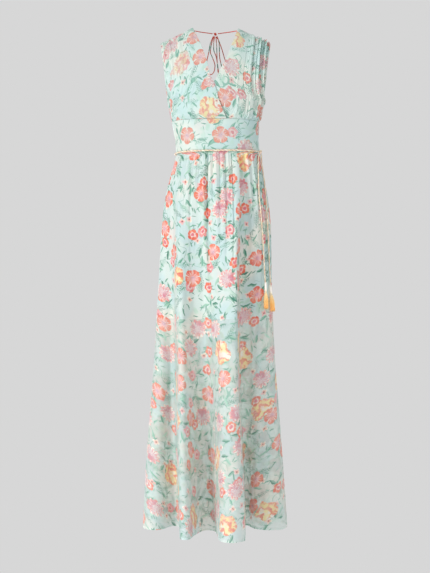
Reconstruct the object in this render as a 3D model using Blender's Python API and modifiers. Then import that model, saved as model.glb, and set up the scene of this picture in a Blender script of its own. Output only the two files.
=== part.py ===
"""A floor-length sleeveless dress, hollow as when it is worn: a wrap-front bodice, a midriff band,
a sheer gathered skirt over a shorter lining, a nape bow and a corded belt with two tassels.

Metres. The front faces -Y, the wearer's left is +X and Z is up. The origin lies midway between the
shoulders, level with the tops of the shoulder seams at the neck.
"""
import math

import bmesh
import bpy
from mathutils import Vector

# Walls and clearances
WALL = 0.0012
SEAM = 0.0003
SEAT = 0.0005
LAP = 0.0023

# Levels
NECK_TOP = -0.003
UNDERBUST = -0.266
WAIST = -0.3525
WAIST_TILT = 0.015
HEM = -1.404

# Shoulders and neck
NECK_HALF = 0.064
SHOULDER_SLOPE = 0.47
SHOULDER_FORWARD = 0.006
BACK_OPENING_FOOT = 0.20

# Plan of a level section: a superellipse, flatter in front and behind than an ellipse
ROUNDNESS = 2.3

# The body of the dress below the bust
FORM = (
    # level, right half, left half, front depth, back depth
    (-0.266, 0.1225, 0.1225, 0.101, 0.085),
    (-0.314, 0.1140, 0.1210, 0.093, 0.081),
    (-0.356, 0.1105, 0.1255, 0.090, 0.083),
    (-0.416, 0.1250, 0.1350, 0.098, 0.098),
    (-0.484, 0.1420, 0.1480, 0.109, 0.118),
    (-0.568, 0.1510, 0.1560, 0.117, 0.132),
    (-0.704, 0.1590, 0.1580, 0.122, 0.140),
    (-0.822, 0.1660, 0.1620, 0.126, 0.146),
    (-0.940, 0.1730, 0.1680, 0.130, 0.152),
    (-1.093, 0.1850, 0.1800, 0.134, 0.160),
    (-1.228, 0.1950, 0.1900, 0.138, 0.168),
    (-1.404, 0.2040, 0.2020, 0.144, 0.178),
)

# The bodice, from the underbust seam to the shoulder seam. Rise is the share of that height, edge is
# the half width at the side seam or the armhole, and form is the half width of the section it is cut from.
BODICE = (
    # rise, edge, form, front depth, back depth
    (0.00, 0.1225, 0.1225, 0.101, 0.085),
    (0.14, 0.1285, 0.1285, 0.116, 0.088),
    (0.25, 0.1335, 0.1335, 0.122, 0.091),
    (0.36, 0.1370, 0.1430, 0.119, 0.093),
    (0.50, 0.1405, 0.1540, 0.110, 0.093),
    (0.65, 0.1440, 0.1620, 0.094, 0.088),
    (0.79, 0.1480, 0.1680, 0.074, 0.077),
    (0.90, 0.1515, 0.1715, 0.051, 0.058),
    (0.97, 0.1535, 0.1735, 0.029, 0.035),
    (1.00, 0.1545, 0.1745, 0.012, 0.014),
    (1.00, 0.1545, 0.1745, 0.000, 0.000),
)

# Rows of the bodice panels by their share of the way up the table, closer round the underarm
BODICE_ROWS = (0.0, 0.08, 0.15, 0.20, 0.212, 0.235, 0.27, 0.33, 0.41, 0.50, 0.60, 0.70, 0.80, 0.90, 1.0)

# The free front edges of the wrap
LAP_OVER = (
    # rise, x
    (0.000, 0.0300),
    (0.205, 0.0078),
    (0.357, -0.0030),
    (0.437, -0.0140),
    (0.593, -0.0234),
    (0.780, -0.0400),
    (0.930, -0.0565),
    (1.000, -0.0640),
)
LAP_UNDER = (
    # rise, x
    (0.000, -0.0550),
    (0.200, -0.0290),
    (0.376, -0.0040),
    (0.418, 0.0025),
    (0.541, 0.0175),
    (0.620, 0.0289),
    (0.780, 0.0435),
    (0.930, 0.0575),
    (1.000, 0.0640),
)

# Folds of the front bodice: where each runs across the panel, from its free edge (0) to its side (1)
FOLDS_RIGHT = (
    # across at the seam below, across at the shoulder, half width, height
    (0.62, 0.30, 0.070, 0.0030),
    (0.78, 0.62, 0.060, 0.0040),
    (0.92, 0.86, 0.045, 0.0030),
)
FOLDS_LEFT = (
    # across at the seam below, across at the shoulder, half width, height
    (0.62, 0.34, 0.060, 0.0035),
    (0.76, 0.56, 0.055, 0.0060),
    (0.87, 0.76, 0.045, 0.0060),
    (0.955, 0.92, 0.035, 0.0040),
)

# Ridges and valleys of the skirt: where each leaves the waist, by its turn from the front centre
# towards the wearer's left, and where it reaches the hem
SKIRT_FOLDS = (
    # waist turn, hem x, hem y
    (-90, -0.204, 0.000),
    (-79, -0.173, -0.052),
    (-62, -0.118, 0.010),
    (-43, -0.081, -0.190),
    (-15, -0.020, -0.055),
    (12, 0.040, -0.232),
    (23, 0.073, -0.200),
    (31, 0.088, 0.015),
    (63, 0.150, -0.055),
    (90, 0.202, 0.000),
    (106, 0.176, 0.066),
    (121, 0.132, 0.052),
    (139, 0.102, 0.178),
    (157, 0.058, 0.108),
    (176, 0.010, 0.212),
    (194, -0.038, 0.120),
    (213, -0.088, 0.188),
    (234, -0.126, 0.058),
    (253, -0.174, 0.072),
    (270, -0.204, 0.000),
)
SIDE_LEFT = 9
FOLD_GROWTH = 1.25
FOLD_FULLNESS = 2.1

# Rows of the skirt by their share of its fall, closer over the hips; the lining ends on one of them
ROW_FALLS = (0.0, 0.035, 0.08, 0.13, 0.19, 0.26, 0.35, 0.44, 0.54, 0.64, 0.74, 0.83, 0.92, 1.0)
LINING_ROWS = 7

# How far the lining hangs inside the skirt
LINING_TOP_INSET = WALL + SEAM + SEAT
LINING_INSET = 0.0055

# Belt: a twisted cord round the waist, its knot and the two ends that hang from it
BELT_RADIUS = 0.0021
KNOT_TURN = 71
KNOT_SPAN = 3.6
KNOT_RADIUS = 0.0056
CORD_SPACING = 0.0078
BELT_END_FRONT = (
    (0.1222, -0.0400, -0.3563),
    (0.1190, -0.0475, -0.3768),
    (0.1188, -0.0543, -0.4022),
    (0.1198, -0.0639, -0.4440),
    (0.1212, -0.0701, -0.4850),
    (0.1248, -0.0701, -0.5130),
    (0.1284, -0.0691, -0.5570),
    (0.1320, -0.0669, -0.6100),
    (0.1352, -0.0647, -0.6660),
    (0.1392, -0.0625, -0.7330),
)
BELT_END_BACK = (
    (0.1278, -0.0338, -0.3568),
    (0.1288, -0.0326, -0.3768),
    (0.1316, -0.0318, -0.3994),
    (0.1379, -0.0370, -0.4460),
    (0.1419, -0.0470, -0.5000),
    (0.1450, -0.0525, -0.5550),
    (0.1478, -0.0500, -0.6100),
    (0.1507, -0.0452, -0.6740),
    (0.1547, -0.0430, -0.7400),
)

# Tassels
TASSEL_TILT_FRONT = (0.0018, -0.0014)
TASSEL_TILT_BACK = (0.0058, -0.0026)
TASSEL_LENGTH = 0.060
TASSEL_SPREAD_FRONT = 0.0056
TASSEL_SPREAD_BACK = 0.0068

# Nape bow, of a narrow fabric tube: strings from the neck, loops and free ends
TIE_RADIUS = 0.0013
NAPE_KNOT = (-0.0008, 0.0660, -0.0020)
NAPE_KNOT_RADII = (0.0062, 0.0048, 0.0052)
TIE_LEFT = (
    (0.0626, 0.0132, -0.0035),
    (0.0500, 0.0365, -0.0008),
    (0.0300, 0.0540, -0.0004),
    (0.0060, 0.0656, -0.0014),
)
TIE_RIGHT = (
    (-0.0626, 0.0132, -0.0035),
    (-0.0500, 0.0365, -0.0008),
    (-0.0320, 0.0535, -0.0004),
    (-0.0076, 0.0652, -0.0014),
)
BOW_LOOP_RIGHT = (
    (-0.0054, 0.0670, -0.0068),
    (-0.0150, 0.0738, -0.0290),
    (-0.0188, 0.0792, -0.0490),
    (-0.0255, 0.0874, -0.0800),
    (-0.0272, 0.0926, -0.1000),
    (-0.0210, 0.0962, -0.1125),
    (-0.0118, 0.0966, -0.1130),
    (-0.0030, 0.0936, -0.1010),
    (-0.0015, 0.0908, -0.0890),
    (-0.0080, 0.0854, -0.0680),
    (-0.0148, 0.0810, -0.0500),
    (-0.0116, 0.0764, -0.0290),
    (-0.0036, 0.0706, -0.0082),
)
BOW_LOOP_LEFT = (
    (0.0012, 0.0706, -0.0082),
    (0.0088, 0.0740, -0.0200),
    (0.0112, 0.0782, -0.0400),
    (0.0116, 0.0834, -0.0600),
    (0.0158, 0.0896, -0.0830),
    (0.0215, 0.0930, -0.0965),
    (0.0282, 0.0928, -0.0955),
    (0.0300, 0.0896, -0.0840),
    (0.0245, 0.0836, -0.0632),
    (0.0162, 0.0762, -0.0372),
    (0.0040, 0.0670, -0.0068),
)
BOW_END_RIGHT = (
    (-0.0024, 0.0662, -0.0081),
    (-0.0054, 0.0734, -0.0300),
    (-0.0052, 0.0768, -0.0430),
    (0.0030, 0.0830, -0.0680),
    (0.0062, 0.0894, -0.0920),
    (0.0074, 0.0936, -0.1085),
)
BOW_END_LEFT = (
    (0.0010, 0.0662, -0.0081),
    (0.0036, 0.0762, -0.0380),
    (0.0046, 0.0880, -0.0730),
    (0.0078, 0.0956, -0.0980),
    (0.0098, 0.0996, -0.1130),
)


def smooth(table, place, column, fullness=1.0):
    """The value of a table's column at a place in its first column, on a curve that never overshoots.

    Fullness makes it run quicker past each row and slower between them, which rounds a fold's crest.
    """
    rising = table[-1][0] > table[0][0]
    rows = table if rising else table[::-1]
    place = min(max(place, rows[0][0]), rows[-1][0])
    index = 0
    while index < len(rows) - 2 and place > rows[index + 1][0]:
        index += 1

    def slope(at):
        if at < 0 or at > len(rows) - 2:
            return None
        run = rows[at + 1][0] - rows[at][0]
        return (rows[at + 1][column] - rows[at][column]) / run

    def tangent(at):
        before, after = slope(at - 1), slope(at)
        if before is None or after is None:
            return after if before is None else before
        if before * after <= 0:
            return 0.0
        return 2 * before * after / (before + after) * fullness

    start, end = rows[index], rows[index + 1]
    run = end[0] - start[0]
    t = (place - start[0]) / run
    return (
        start[column] * (1 + 2 * t) * (1 - t) ** 2
        + tangent(index) * run * t * (1 - t) ** 2
        + end[column] * t * t * (3 - 2 * t)
        + tangent(index + 1) * run * t * t * (t - 1)
    )


def ease(value):
    value = min(max(value, 0.0), 1.0)
    return value * value * (3 - 2 * value)


def curve_power(value):
    return math.copysign(abs(value) ** (2 / ROUNDNESS), value)


# ---- The form below the bust


def waist_level(x):
    return WAIST + WAIST_TILT * x


def form_point(turn, level):
    """A point of the form at a turn in degrees from the front centre, on the level section."""
    angle = math.radians(turn)
    side, ahead = math.sin(angle), math.cos(angle)
    half = smooth(FORM, level, 1 if side < 0 else 2)
    depth = smooth(FORM, level, 3 if ahead > 0 else 4)
    return Vector((half * curve_power(side), -depth * curve_power(ahead), level))


def form_outward(turn, level):
    """The level direction that points away from the form."""
    along = form_point(turn + 1, level) - form_point(turn - 1, level)
    return Vector((along.y, -along.x, 0)).normalized()


def part_at_side(point, front):
    """Sets a panel half a seam's clearance off the side seam."""
    return point + Vector((0, -SEAM / 2 if front else SEAM / 2, 0))


# ---- Skirt


def cut_widths():
    """How far round the hem each fold of the table lies, measured on the cloth."""
    widths = [0.0]
    for before, after in zip(SKIRT_FOLDS, SKIRT_FOLDS[1:]):
        widths.append(widths[-1] + math.hypot(after[1] - before[1], after[2] - before[2]))
    return widths


def closed_cut(widths):
    """The fold table by cut width, with a row repeated past each end so that it runs round smoothly."""
    rows = [(width, *row) for width, row in zip(widths, SKIRT_FOLDS)]
    full = widths[-1]
    before = (rows[-2][0] - full, rows[-2][1] - 360, *rows[-2][2:])
    after = (rows[1][0] + full, rows[1][1] + 360, *rows[1][2:])
    return (before, *rows, after)


CUT = closed_cut(cut_widths())
HALF_CUT = cut_widths()[SIDE_LEFT]
FULL_CUT = cut_widths()[-1]


def skirt_point(width, fall):
    """A point of the skirt, a distance round the hem's cut and a share of the way down."""
    turn = smooth(CUT, width, 1)
    top = waist_level(form_point(turn, WAIST).x) - SEAM / 2
    level = top + fall * (HEM - top)
    at_hem = form_point(turn, HEM)
    hem_x, hem_y = smooth(CUT, width, 2, FOLD_FULLNESS), smooth(CUT, width, 3)
    fold = Vector((hem_x - at_hem.x, hem_y - at_hem.y, 0))
    return form_point(turn, level) + fold * fall**FOLD_GROWTH


def skirt_inside(width, fall, inset):
    """The same point, moved inwards at right angles to the cloth."""
    step = 0.004
    around = skirt_point((width + step) % FULL_CUT, fall) - skirt_point((width - step) % FULL_CUT, fall)
    inwards = Vector((-around.y, around.x, 0)).normalized()
    return skirt_point(width, fall) + inwards * inset


def skirt_panel(front, rows, top_inset=0.0, inset=0.0):
    """A panel between the side seams, of the first rows of the skirt, on its surface or inside it."""
    start, end = (0, HALF_CUT) if front else (HALF_CUT, FULL_CUT)

    def place(across, up):
        fall = ROW_FALLS[round((1 - up) * rows)]
        depth = top_inset + (inset - top_inset) * ease(fall / ROW_FALLS[2])
        return part_at_side(skirt_inside(start + across * (end - start), fall, depth), front)

    return place


# ---- Midriff band


def midriff_panel(front):
    def place(across, up):
        turn = (across - 0.5) * 180 if front else 180 + (across - 0.5) * 180
        low = waist_level(form_point(turn, WAIST).x) + SEAM / 2
        high = UNDERBUST - SEAM / 2
        return part_at_side(form_point(turn, low + up * (high - low)), front)

    return place


# ---- Bodice


def bodice(up):
    """The row of the bodice table at a share of the way up its rows."""
    rows = tuple((index / (len(BODICE) - 1), *row) for index, row in enumerate(BODICE))
    return [smooth(rows, up, column) for column in range(1, 6)]


def bodice_row(row):
    return BODICE_ROWS[round(row * (len(BODICE_ROWS) - 1))]


def shoulder_level(x):
    return NECK_TOP - SHOULDER_SLOPE * max(abs(x) - NECK_HALF, 0)


def turn_of(x, form):
    """The turn at which a section of this half width reaches x."""
    share = min(abs(x) / form, 1.0)
    return math.copysign(math.asin(share ** (ROUNDNESS / 2)), x)


def bodice_point(across, up, inner, side, front):
    """A point between the free inner edge and the side seam or the armhole."""
    rise, edge, form, front_depth, back_depth = bodice(up)
    low, high = turn_of(inner(rise), form), turn_of(side * edge, form)
    turn = low + across * (high - low)
    x = form * curve_power(math.sin(turn))
    depth = curve_power(math.cos(turn)) * (front_depth if front else back_depth)
    y = -depth - SEAM / 2 if front else depth + SEAM / 2
    level = UNDERBUST + SEAM / 2 + rise * (shoulder_level(x) - UNDERBUST - SEAM / 2)
    return Vector((x, y - SHOULDER_FORWARD * rise**3, level))


def outward_of(place, across, up, side):
    """The direction away from the body at a point of a front panel on this side."""
    step = 0.01
    along = place(min(across + step, 1), up) - place(max(across - step, 0), up)
    rise = place(across, min(up + step, 1)) - place(across, max(up - step, 0))
    return along.cross(rise).normalized() * side


def fold_height(folds, across, up):
    """Soft ridges that run from the seam below the bust to the shoulder."""
    total = 0.0
    for low, high, half_width, height in folds:
        away = abs(across - (low + (high - low) * up)) / half_width
        total += height * ease(1 - away)
    return total * ease(up * 6) * ease((1 - up) * 5)


def front_panel(over):
    edge_table = LAP_OVER if over else LAP_UNDER
    folds = FOLDS_RIGHT if over else FOLDS_LEFT
    side = -1 if over else 1

    def bare(across, up):
        return bodice_point(across, up, lambda rise: smooth(edge_table, rise, 1), side, True)

    def place(across, row):
        up = bodice_row(row)
        point = bare(across, up)
        lift = fold_height(folds, across, up)
        if over:
            lift += LAP * ease((point.x + 0.095) / 0.030)
        return point + outward_of(bare, across, up, side) * lift

    return place


def back_panel(side):
    def inner(rise):
        share = max(rise - BACK_OPENING_FOOT, 0) / (1 - BACK_OPENING_FOOT)
        return side * max(SEAM / 2 + WALL / 4, NECK_HALF * share**0.9)

    def place(across, row):
        return bodice_point(across, bodice_row(row), inner, side, False)

    return place


# ---- Making the pieces


def finish(name, colour, roughness):
    material = bpy.data.materials.new(name)
    material.use_nodes = True
    shader = material.node_tree.nodes["Principled BSDF"]
    shader.inputs["Base Color"].default_value = (*colour, 1)
    shader.inputs["Roughness"].default_value = roughness
    shader.inputs["Metallic"].default_value = 0.0
    return material


def add_object(name, data, material):
    piece = bpy.data.objects.new(name, data)
    piece.data.materials.append(material)
    collection.objects.link(piece)
    return piece


def cloth(name, columns, rows, place, material):
    """A panel: a grid laid over its place on the dress and given the cloth's wall."""
    shape = bmesh.new()
    bmesh.ops.create_grid(shape, x_segments=columns, y_segments=rows, size=0.5)
    for corner in shape.verts:
        corner.co = place(corner.co.x + 0.5, corner.co.y + 0.5)
    mesh = bpy.data.meshes.new(name)
    shape.to_mesh(mesh)
    shape.free()
    mesh.shade_smooth()
    piece = add_object(name, mesh, material)
    wall = piece.modifiers.new("wall", "SOLIDIFY")
    wall.thickness = WALL
    wall.offset = 0
    return piece


def spaced(points, spacing):
    """Points an even distance apart on a smooth curve through the given ones."""
    points = [Vector(point) for point in points]
    travelled = [0.0]
    for before, after in zip(points, points[1:]):
        travelled.append(travelled[-1] + (after - before).length)
    table = tuple((way, *point) for way, point in zip(travelled, points))
    fine = [
        Vector([smooth(table, travelled[-1] * step / 400, column) for column in (1, 2, 3)])
        for step in range(401)
    ]
    length = sum((after - before).length for before, after in zip(fine, fine[1:]))
    count = max(round(length / spacing), 2)
    kept, travelled, target = [fine[0]], 0.0, length / count
    for before, after in zip(fine, fine[1:]):
        travelled += (after - before).length
        if travelled >= target and len(kept) < count:
            kept.append(after)
            target += length / count
    return kept + [fine[-1]]


def cord(name, points, radius, material):
    """A round cord along points that are already evenly spaced."""
    data = bpy.data.curves.new(name, "CURVE")
    data.dimensions = "3D"
    data.bevel_depth = radius
    data.bevel_resolution = 2
    data.use_fill_caps = True
    spline = data.splines.new("POLY")
    spline.points.add(len(points) - 1)
    for knot, point in zip(spline.points, points):
        knot.co = (*point, 1)
    return add_object(name, data, material)


def knot(name, centre, radii, material):
    """A small drawn-up knot."""
    shape = bmesh.new()
    bmesh.ops.create_uvsphere(shape, u_segments=10, v_segments=7, radius=1)
    bmesh.ops.scale(shape, vec=radii, verts=shape.verts)
    bmesh.ops.translate(shape, vec=centre, verts=shape.verts)
    mesh = bpy.data.meshes.new(name)
    shape.to_mesh(mesh)
    shape.free()
    mesh.shade_smooth()
    return add_object(name, mesh, material)


def tassel(name, top, tilt, spread, material):
    """A tassel that hangs from its top: a bound head, a neck and a skirt of threads."""
    profile = (
        # radius, drop below the top
        (0.0000, 0.0000),
        (0.0024, 0.0006),
        (0.0035, 0.0040),
        (0.0026, 0.0070),
        (0.0022, 0.0085),
        (0.0032, 0.0130),
        (spread * 0.72, 0.0300),
        (spread, TASSEL_LENGTH),
        (0.0000, TASSEL_LENGTH),
    )
    shape = bmesh.new()
    corners = [shape.verts.new((radius, 0, -drop)) for radius, drop in profile]
    edges = [shape.edges.new(pair) for pair in zip(corners, corners[1:])]
    bmesh.ops.spin(
        shape, geom=corners + edges, cent=(0, 0, 0), axis=(0, 0, 1), angle=math.tau, steps=12, use_merge=True
    )
    bmesh.ops.remove_doubles(shape, verts=shape.verts, dist=0.00001)
    bmesh.ops.recalc_face_normals(shape, faces=shape.faces)
    hang = Vector((*tilt, -TASSEL_LENGTH))
    bmesh.ops.rotate(shape, matrix=Vector((0, 0, -1)).rotation_difference(hang).to_matrix(), verts=shape.verts)
    bmesh.ops.translate(shape, vec=top, verts=shape.verts)
    mesh = bpy.data.meshes.new(name)
    shape.to_mesh(mesh)
    shape.free()
    mesh.shade_smooth()
    return add_object(name, mesh, material)


def belt_route():
    """Points round the waist seam, from one side of the knot to the other, a cord's radius off the cloth."""
    points = []
    for step in range(181):
        turn = KNOT_TURN + KNOT_SPAN + step / 180 * (360 - 2 * KNOT_SPAN)
        turn -= 360 if turn > 270 else 0
        on_cloth = form_point(turn, waist_level(form_point(turn, WAIST).x))
        points.append(on_cloth + form_outward(turn, on_cloth.z) * (WALL / 2 + SEAT + BELT_RADIUS))
    return points


def below(points):
    """A clearance under the last point of a hanging cord."""
    return Vector(points[-1]) - Vector((0, 0, SEAM))


# ---- The dress

for leftover in list(bpy.data.objects):
    bpy.data.objects.remove(leftover)

collection = bpy.data.collections.new("dress")
bpy.context.scene.collection.children.link(collection)

printed = finish("printed chiffon", (0.62, 0.77, 0.72), 0.75)
sheer = finish("sheer printed chiffon", (0.58, 0.74, 0.69), 0.75)
plain = finish("mint lining", (0.60, 0.79, 0.75), 0.60)
rouleau = finish("coral rouleau", (0.80, 0.30, 0.22), 0.75)
twist = finish("peach twisted cord", (0.88, 0.70, 0.48), 0.70)
thread = finish("amber thread", (0.90, 0.50, 0.16), 0.65)

bodice_rows = len(BODICE_ROWS) - 1
cloth("front_right", 15, bodice_rows, front_panel(True), printed)
cloth("front_left", 18, bodice_rows, front_panel(False), printed)
for side, word in ((-1, "right"), (1, "left")):
    cloth(f"back_{word}", 9, bodice_rows, back_panel(side), printed)
cloth("midriff_front", 26, 3, midriff_panel(True), printed)
cloth("midriff_back", 20, 3, midriff_panel(False), printed)
skirt_rows = len(ROW_FALLS) - 1
lining = (LINING_ROWS, LINING_TOP_INSET, LINING_INSET)
cloth("skirt_front", 48, skirt_rows, skirt_panel(True, skirt_rows), sheer)
cloth("skirt_back", 44, skirt_rows, skirt_panel(False, skirt_rows), sheer)
cloth("lining_front", 30, LINING_ROWS, skirt_panel(True, *lining), plain)
cloth("lining_back", 28, LINING_ROWS, skirt_panel(False, *lining), plain)

knot_seat = form_point(KNOT_TURN, waist_level(form_point(KNOT_TURN, WAIST).x))
knot_centre = knot_seat + form_outward(KNOT_TURN, knot_seat.z) * (WALL / 2 + SEAT + KNOT_RADIUS)
cord("belt", spaced(belt_route(), CORD_SPACING * 1.15), BELT_RADIUS, twist)
knot("belt_knot", knot_centre, (KNOT_RADIUS,) * 3, twist)
cord("belt_end_front", spaced(BELT_END_FRONT, CORD_SPACING), BELT_RADIUS, twist)
cord("belt_end_back", spaced(BELT_END_BACK, CORD_SPACING), BELT_RADIUS, twist)
tassel("tassel_front", below(BELT_END_FRONT), TASSEL_TILT_FRONT, TASSEL_SPREAD_FRONT, thread)
tassel("tassel_back", below(BELT_END_BACK), TASSEL_TILT_BACK, TASSEL_SPREAD_BACK, thread)

knot("bow_knot", NAPE_KNOT, NAPE_KNOT_RADII, rouleau)
cord("tie_left", spaced(TIE_LEFT, CORD_SPACING), TIE_RADIUS, rouleau)
cord("tie_right", spaced(TIE_RIGHT, CORD_SPACING), TIE_RADIUS, rouleau)
cord("bow_loop_right", spaced(BOW_LOOP_RIGHT, CORD_SPACING), TIE_RADIUS, rouleau)
cord("bow_loop_left", spaced(BOW_LOOP_LEFT, CORD_SPACING), TIE_RADIUS, rouleau)
cord("bow_end_right", spaced(BOW_END_RIGHT, CORD_SPACING), TIE_RADIUS, rouleau)
cord("bow_end_left", spaced(BOW_END_LEFT, CORD_SPACING), TIE_RADIUS, rouleau)
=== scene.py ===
# %% [markdown]
# # A printed chiffon dress
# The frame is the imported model: hollow cloth walls, cords and tassels at their real size. Each piece that
# shows is made again here with finer folds and a real finish, and stands for the piece of the frame with
# the same name. Lengths are in metres, the front faces -Y and the wearer's left is +X.

# %% Load the frame
import math

import bmesh
import bpy
import numpy as np
from mathutils import Matrix, Vector


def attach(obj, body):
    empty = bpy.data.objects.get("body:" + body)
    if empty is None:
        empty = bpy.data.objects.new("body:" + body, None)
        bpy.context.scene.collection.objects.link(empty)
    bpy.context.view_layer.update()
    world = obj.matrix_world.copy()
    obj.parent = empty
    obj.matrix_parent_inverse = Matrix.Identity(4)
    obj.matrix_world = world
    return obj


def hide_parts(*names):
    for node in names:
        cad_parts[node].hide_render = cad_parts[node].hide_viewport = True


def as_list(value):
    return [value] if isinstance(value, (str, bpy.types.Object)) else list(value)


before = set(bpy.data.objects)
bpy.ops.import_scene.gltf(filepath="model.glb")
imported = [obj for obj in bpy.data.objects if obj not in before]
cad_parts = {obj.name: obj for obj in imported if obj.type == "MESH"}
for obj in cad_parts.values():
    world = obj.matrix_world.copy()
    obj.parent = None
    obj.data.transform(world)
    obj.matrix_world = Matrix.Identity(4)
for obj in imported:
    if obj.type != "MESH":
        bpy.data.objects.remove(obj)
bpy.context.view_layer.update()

BODY = "root"

# %% [markdown]
# ## Camera, light and floor
# A garment is seen from far off through a long lens, so that it keeps its proportions. The camera stands
# level with the middle of the dress. A plain studio is a pale surround that lights from everywhere. A large
# soft lamp at the front left gives the folds their shade on the right, a weak one fills that shade, and one
# behind shines through the sheer skirt. The surround is seen a shade lighter than it lights.

# %% Camera
CAMERA_ASIDE = -0.0014
CAMERA_AWAY = 3.6
CAMERA_LEVEL = -0.727
LENS = 80.2
camera_data = bpy.data.cameras.new("camera")
camera_data.lens = LENS
camera_data.clip_end = 30
camera = bpy.data.objects.new("camera", camera_data)
camera.location = (CAMERA_ASIDE, -CAMERA_AWAY, CAMERA_LEVEL)
camera.rotation_euler = (math.radians(90), 0, 0)
bpy.context.scene.collection.objects.link(camera)
bpy.context.scene.camera = camera
print("camera at", CAMERA_AWAY, "m with a lens of", LENS, "mm")

# %% Surround
SURROUND = (0.6795, 0.6795, 0.6795, 1)
AMBIENT = (0.67, 0.67, 0.67, 1)
# A mix node's sockets for two colours and their mixture
COLOUR_A, COLOUR_B, COLOUR_OUT = 6, 7, 2
bpy.context.scene.view_settings.view_transform = "Standard"
world = bpy.data.worlds.new("surround")
world.use_nodes = True
seen = world.node_tree.nodes.new("ShaderNodeLightPath")
blend = world.node_tree.nodes.new("ShaderNodeMix")
blend.data_type = "RGBA"
blend.inputs[COLOUR_A].default_value = AMBIENT
blend.inputs[COLOUR_B].default_value = SURROUND
background = world.node_tree.nodes["Background"]
world.node_tree.links.new(seen.outputs["Is Camera Ray"], blend.inputs[0])
world.node_tree.links.new(blend.outputs[COLOUR_OUT], background.inputs["Color"])
background.inputs["Strength"].default_value = 1.0
bpy.context.scene.world = world
print("surround", SURROUND[0], "lights as", AMBIENT[0])

# %% Lamps
LAMPS = (
    # name, place, aim, size in metres, power in watts
    ("key", (-4.0, -4.4, -0.8), (0, 0, -0.85), 1.8, 192),
    ("fill", (2.4, -4.5, -1.5), (0, 0, -1.1), 2.4, 36),
    ("back", (-0.8, 4.2, -1.1), (0, 0, -1.1), 2.6, 185),
)
for name, place, aim, size, power in LAMPS:
    data = bpy.data.lights.new(name, "AREA")
    data.size = size
    data.energy = power
    item = bpy.data.objects.new(name, data)
    item.location = place
    item.rotation_euler = (Vector(aim) - Vector(place)).to_track_quat("-Z", "Y").to_euler()
    bpy.context.scene.collection.objects.link(item)
print("lamps", len(LAMPS))

# %% Floor
FLOOR_LEVEL = -1.60
FLOOR_HALF = 14
shape = bmesh.new()
bmesh.ops.create_grid(shape, x_segments=1, y_segments=1, size=FLOOR_HALF)
bmesh.ops.translate(shape, vec=(0, 0, FLOOR_LEVEL), verts=shape.verts)
floor_mesh = bpy.data.meshes.new("floor")
shape.to_mesh(floor_mesh)
shape.free()
floor = bpy.data.objects.new("floor", floor_mesh)
bpy.context.scene.collection.objects.link(floor)
pale = bpy.data.materials.new("pale floor")
pale.use_nodes = True
pale_shader = pale.node_tree.nodes["Principled BSDF"]
pale_shader.inputs["Base Color"].default_value = (0.0, 0.0, 0.0, 1)
pale_shader.inputs["Roughness"].default_value = 1.0
pale_shader.inputs["Specular IOR Level"].default_value = 0.0
pale_shader.inputs["Emission Color"].default_value = SURROUND
pale_shader.inputs["Emission Strength"].default_value = 1.0
floor_mesh.materials.append(pale)
floor.visible_diffuse = False
floor.visible_glossy = False
print("floor at", FLOOR_LEVEL)

# %% [markdown]
# ## The shape of the dress
# The frame's cloth was worked out from level sections and a table of folds. The same tables are read here,
# on arrays, so that a panel can have a hundred times as many points and still lie on its solid.

# %% Sizes
WALL = 0.0012
SEAM = 0.0003
UNDERBUST = -0.266
WAIST = -0.3525
WAIST_TILT = 0.015
HEM = -1.404
NECK_TOP = -0.003
NECK_HALF = 0.064
SHOULDER_SLOPE = 0.47
SHOULDER_FORWARD = 0.006
BACK_OPENING_FOOT = 0.20
ROUNDNESS = 2.3
LAP = 0.0023
SIDE_LEFT = 9
FOLD_GROWTH = 1.25
FOLD_FULLNESS = 2.1
LINING_FALL = 0.44
LINING_INSET = 0.0055
print("high shoulder to hem", -HEM, "m")

# %% Level sections of the form and of the bodice
FORM = (
    # level, right half, left half, front depth, back depth
    (-0.266, 0.1225, 0.1225, 0.101, 0.085),
    (-0.314, 0.1140, 0.1210, 0.093, 0.081),
    (-0.356, 0.1105, 0.1255, 0.090, 0.083),
    (-0.416, 0.1250, 0.1350, 0.098, 0.098),
    (-0.484, 0.1420, 0.1480, 0.109, 0.118),
    (-0.568, 0.1510, 0.1560, 0.117, 0.132),
    (-0.704, 0.1590, 0.1580, 0.122, 0.140),
    (-0.822, 0.1660, 0.1620, 0.126, 0.146),
    (-0.940, 0.1730, 0.1680, 0.130, 0.152),
    (-1.093, 0.1850, 0.1800, 0.134, 0.160),
    (-1.228, 0.1950, 0.1900, 0.138, 0.168),
    (-1.404, 0.2040, 0.2020, 0.144, 0.178),
)
BODICE = (
    # rise, edge, form, front depth, back depth
    (0.00, 0.1225, 0.1225, 0.101, 0.085),
    (0.14, 0.1285, 0.1285, 0.116, 0.088),
    (0.25, 0.1335, 0.1335, 0.122, 0.091),
    (0.36, 0.1370, 0.1430, 0.119, 0.093),
    (0.50, 0.1405, 0.1540, 0.110, 0.093),
    (0.65, 0.1440, 0.1620, 0.094, 0.088),
    (0.79, 0.1480, 0.1680, 0.074, 0.077),
    (0.90, 0.1515, 0.1715, 0.051, 0.058),
    (0.97, 0.1535, 0.1735, 0.029, 0.035),
    (1.00, 0.1545, 0.1745, 0.012, 0.014),
    (1.00, 0.1545, 0.1745, 0.000, 0.000),
)
print("sections", len(FORM), "and", len(BODICE))

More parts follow.
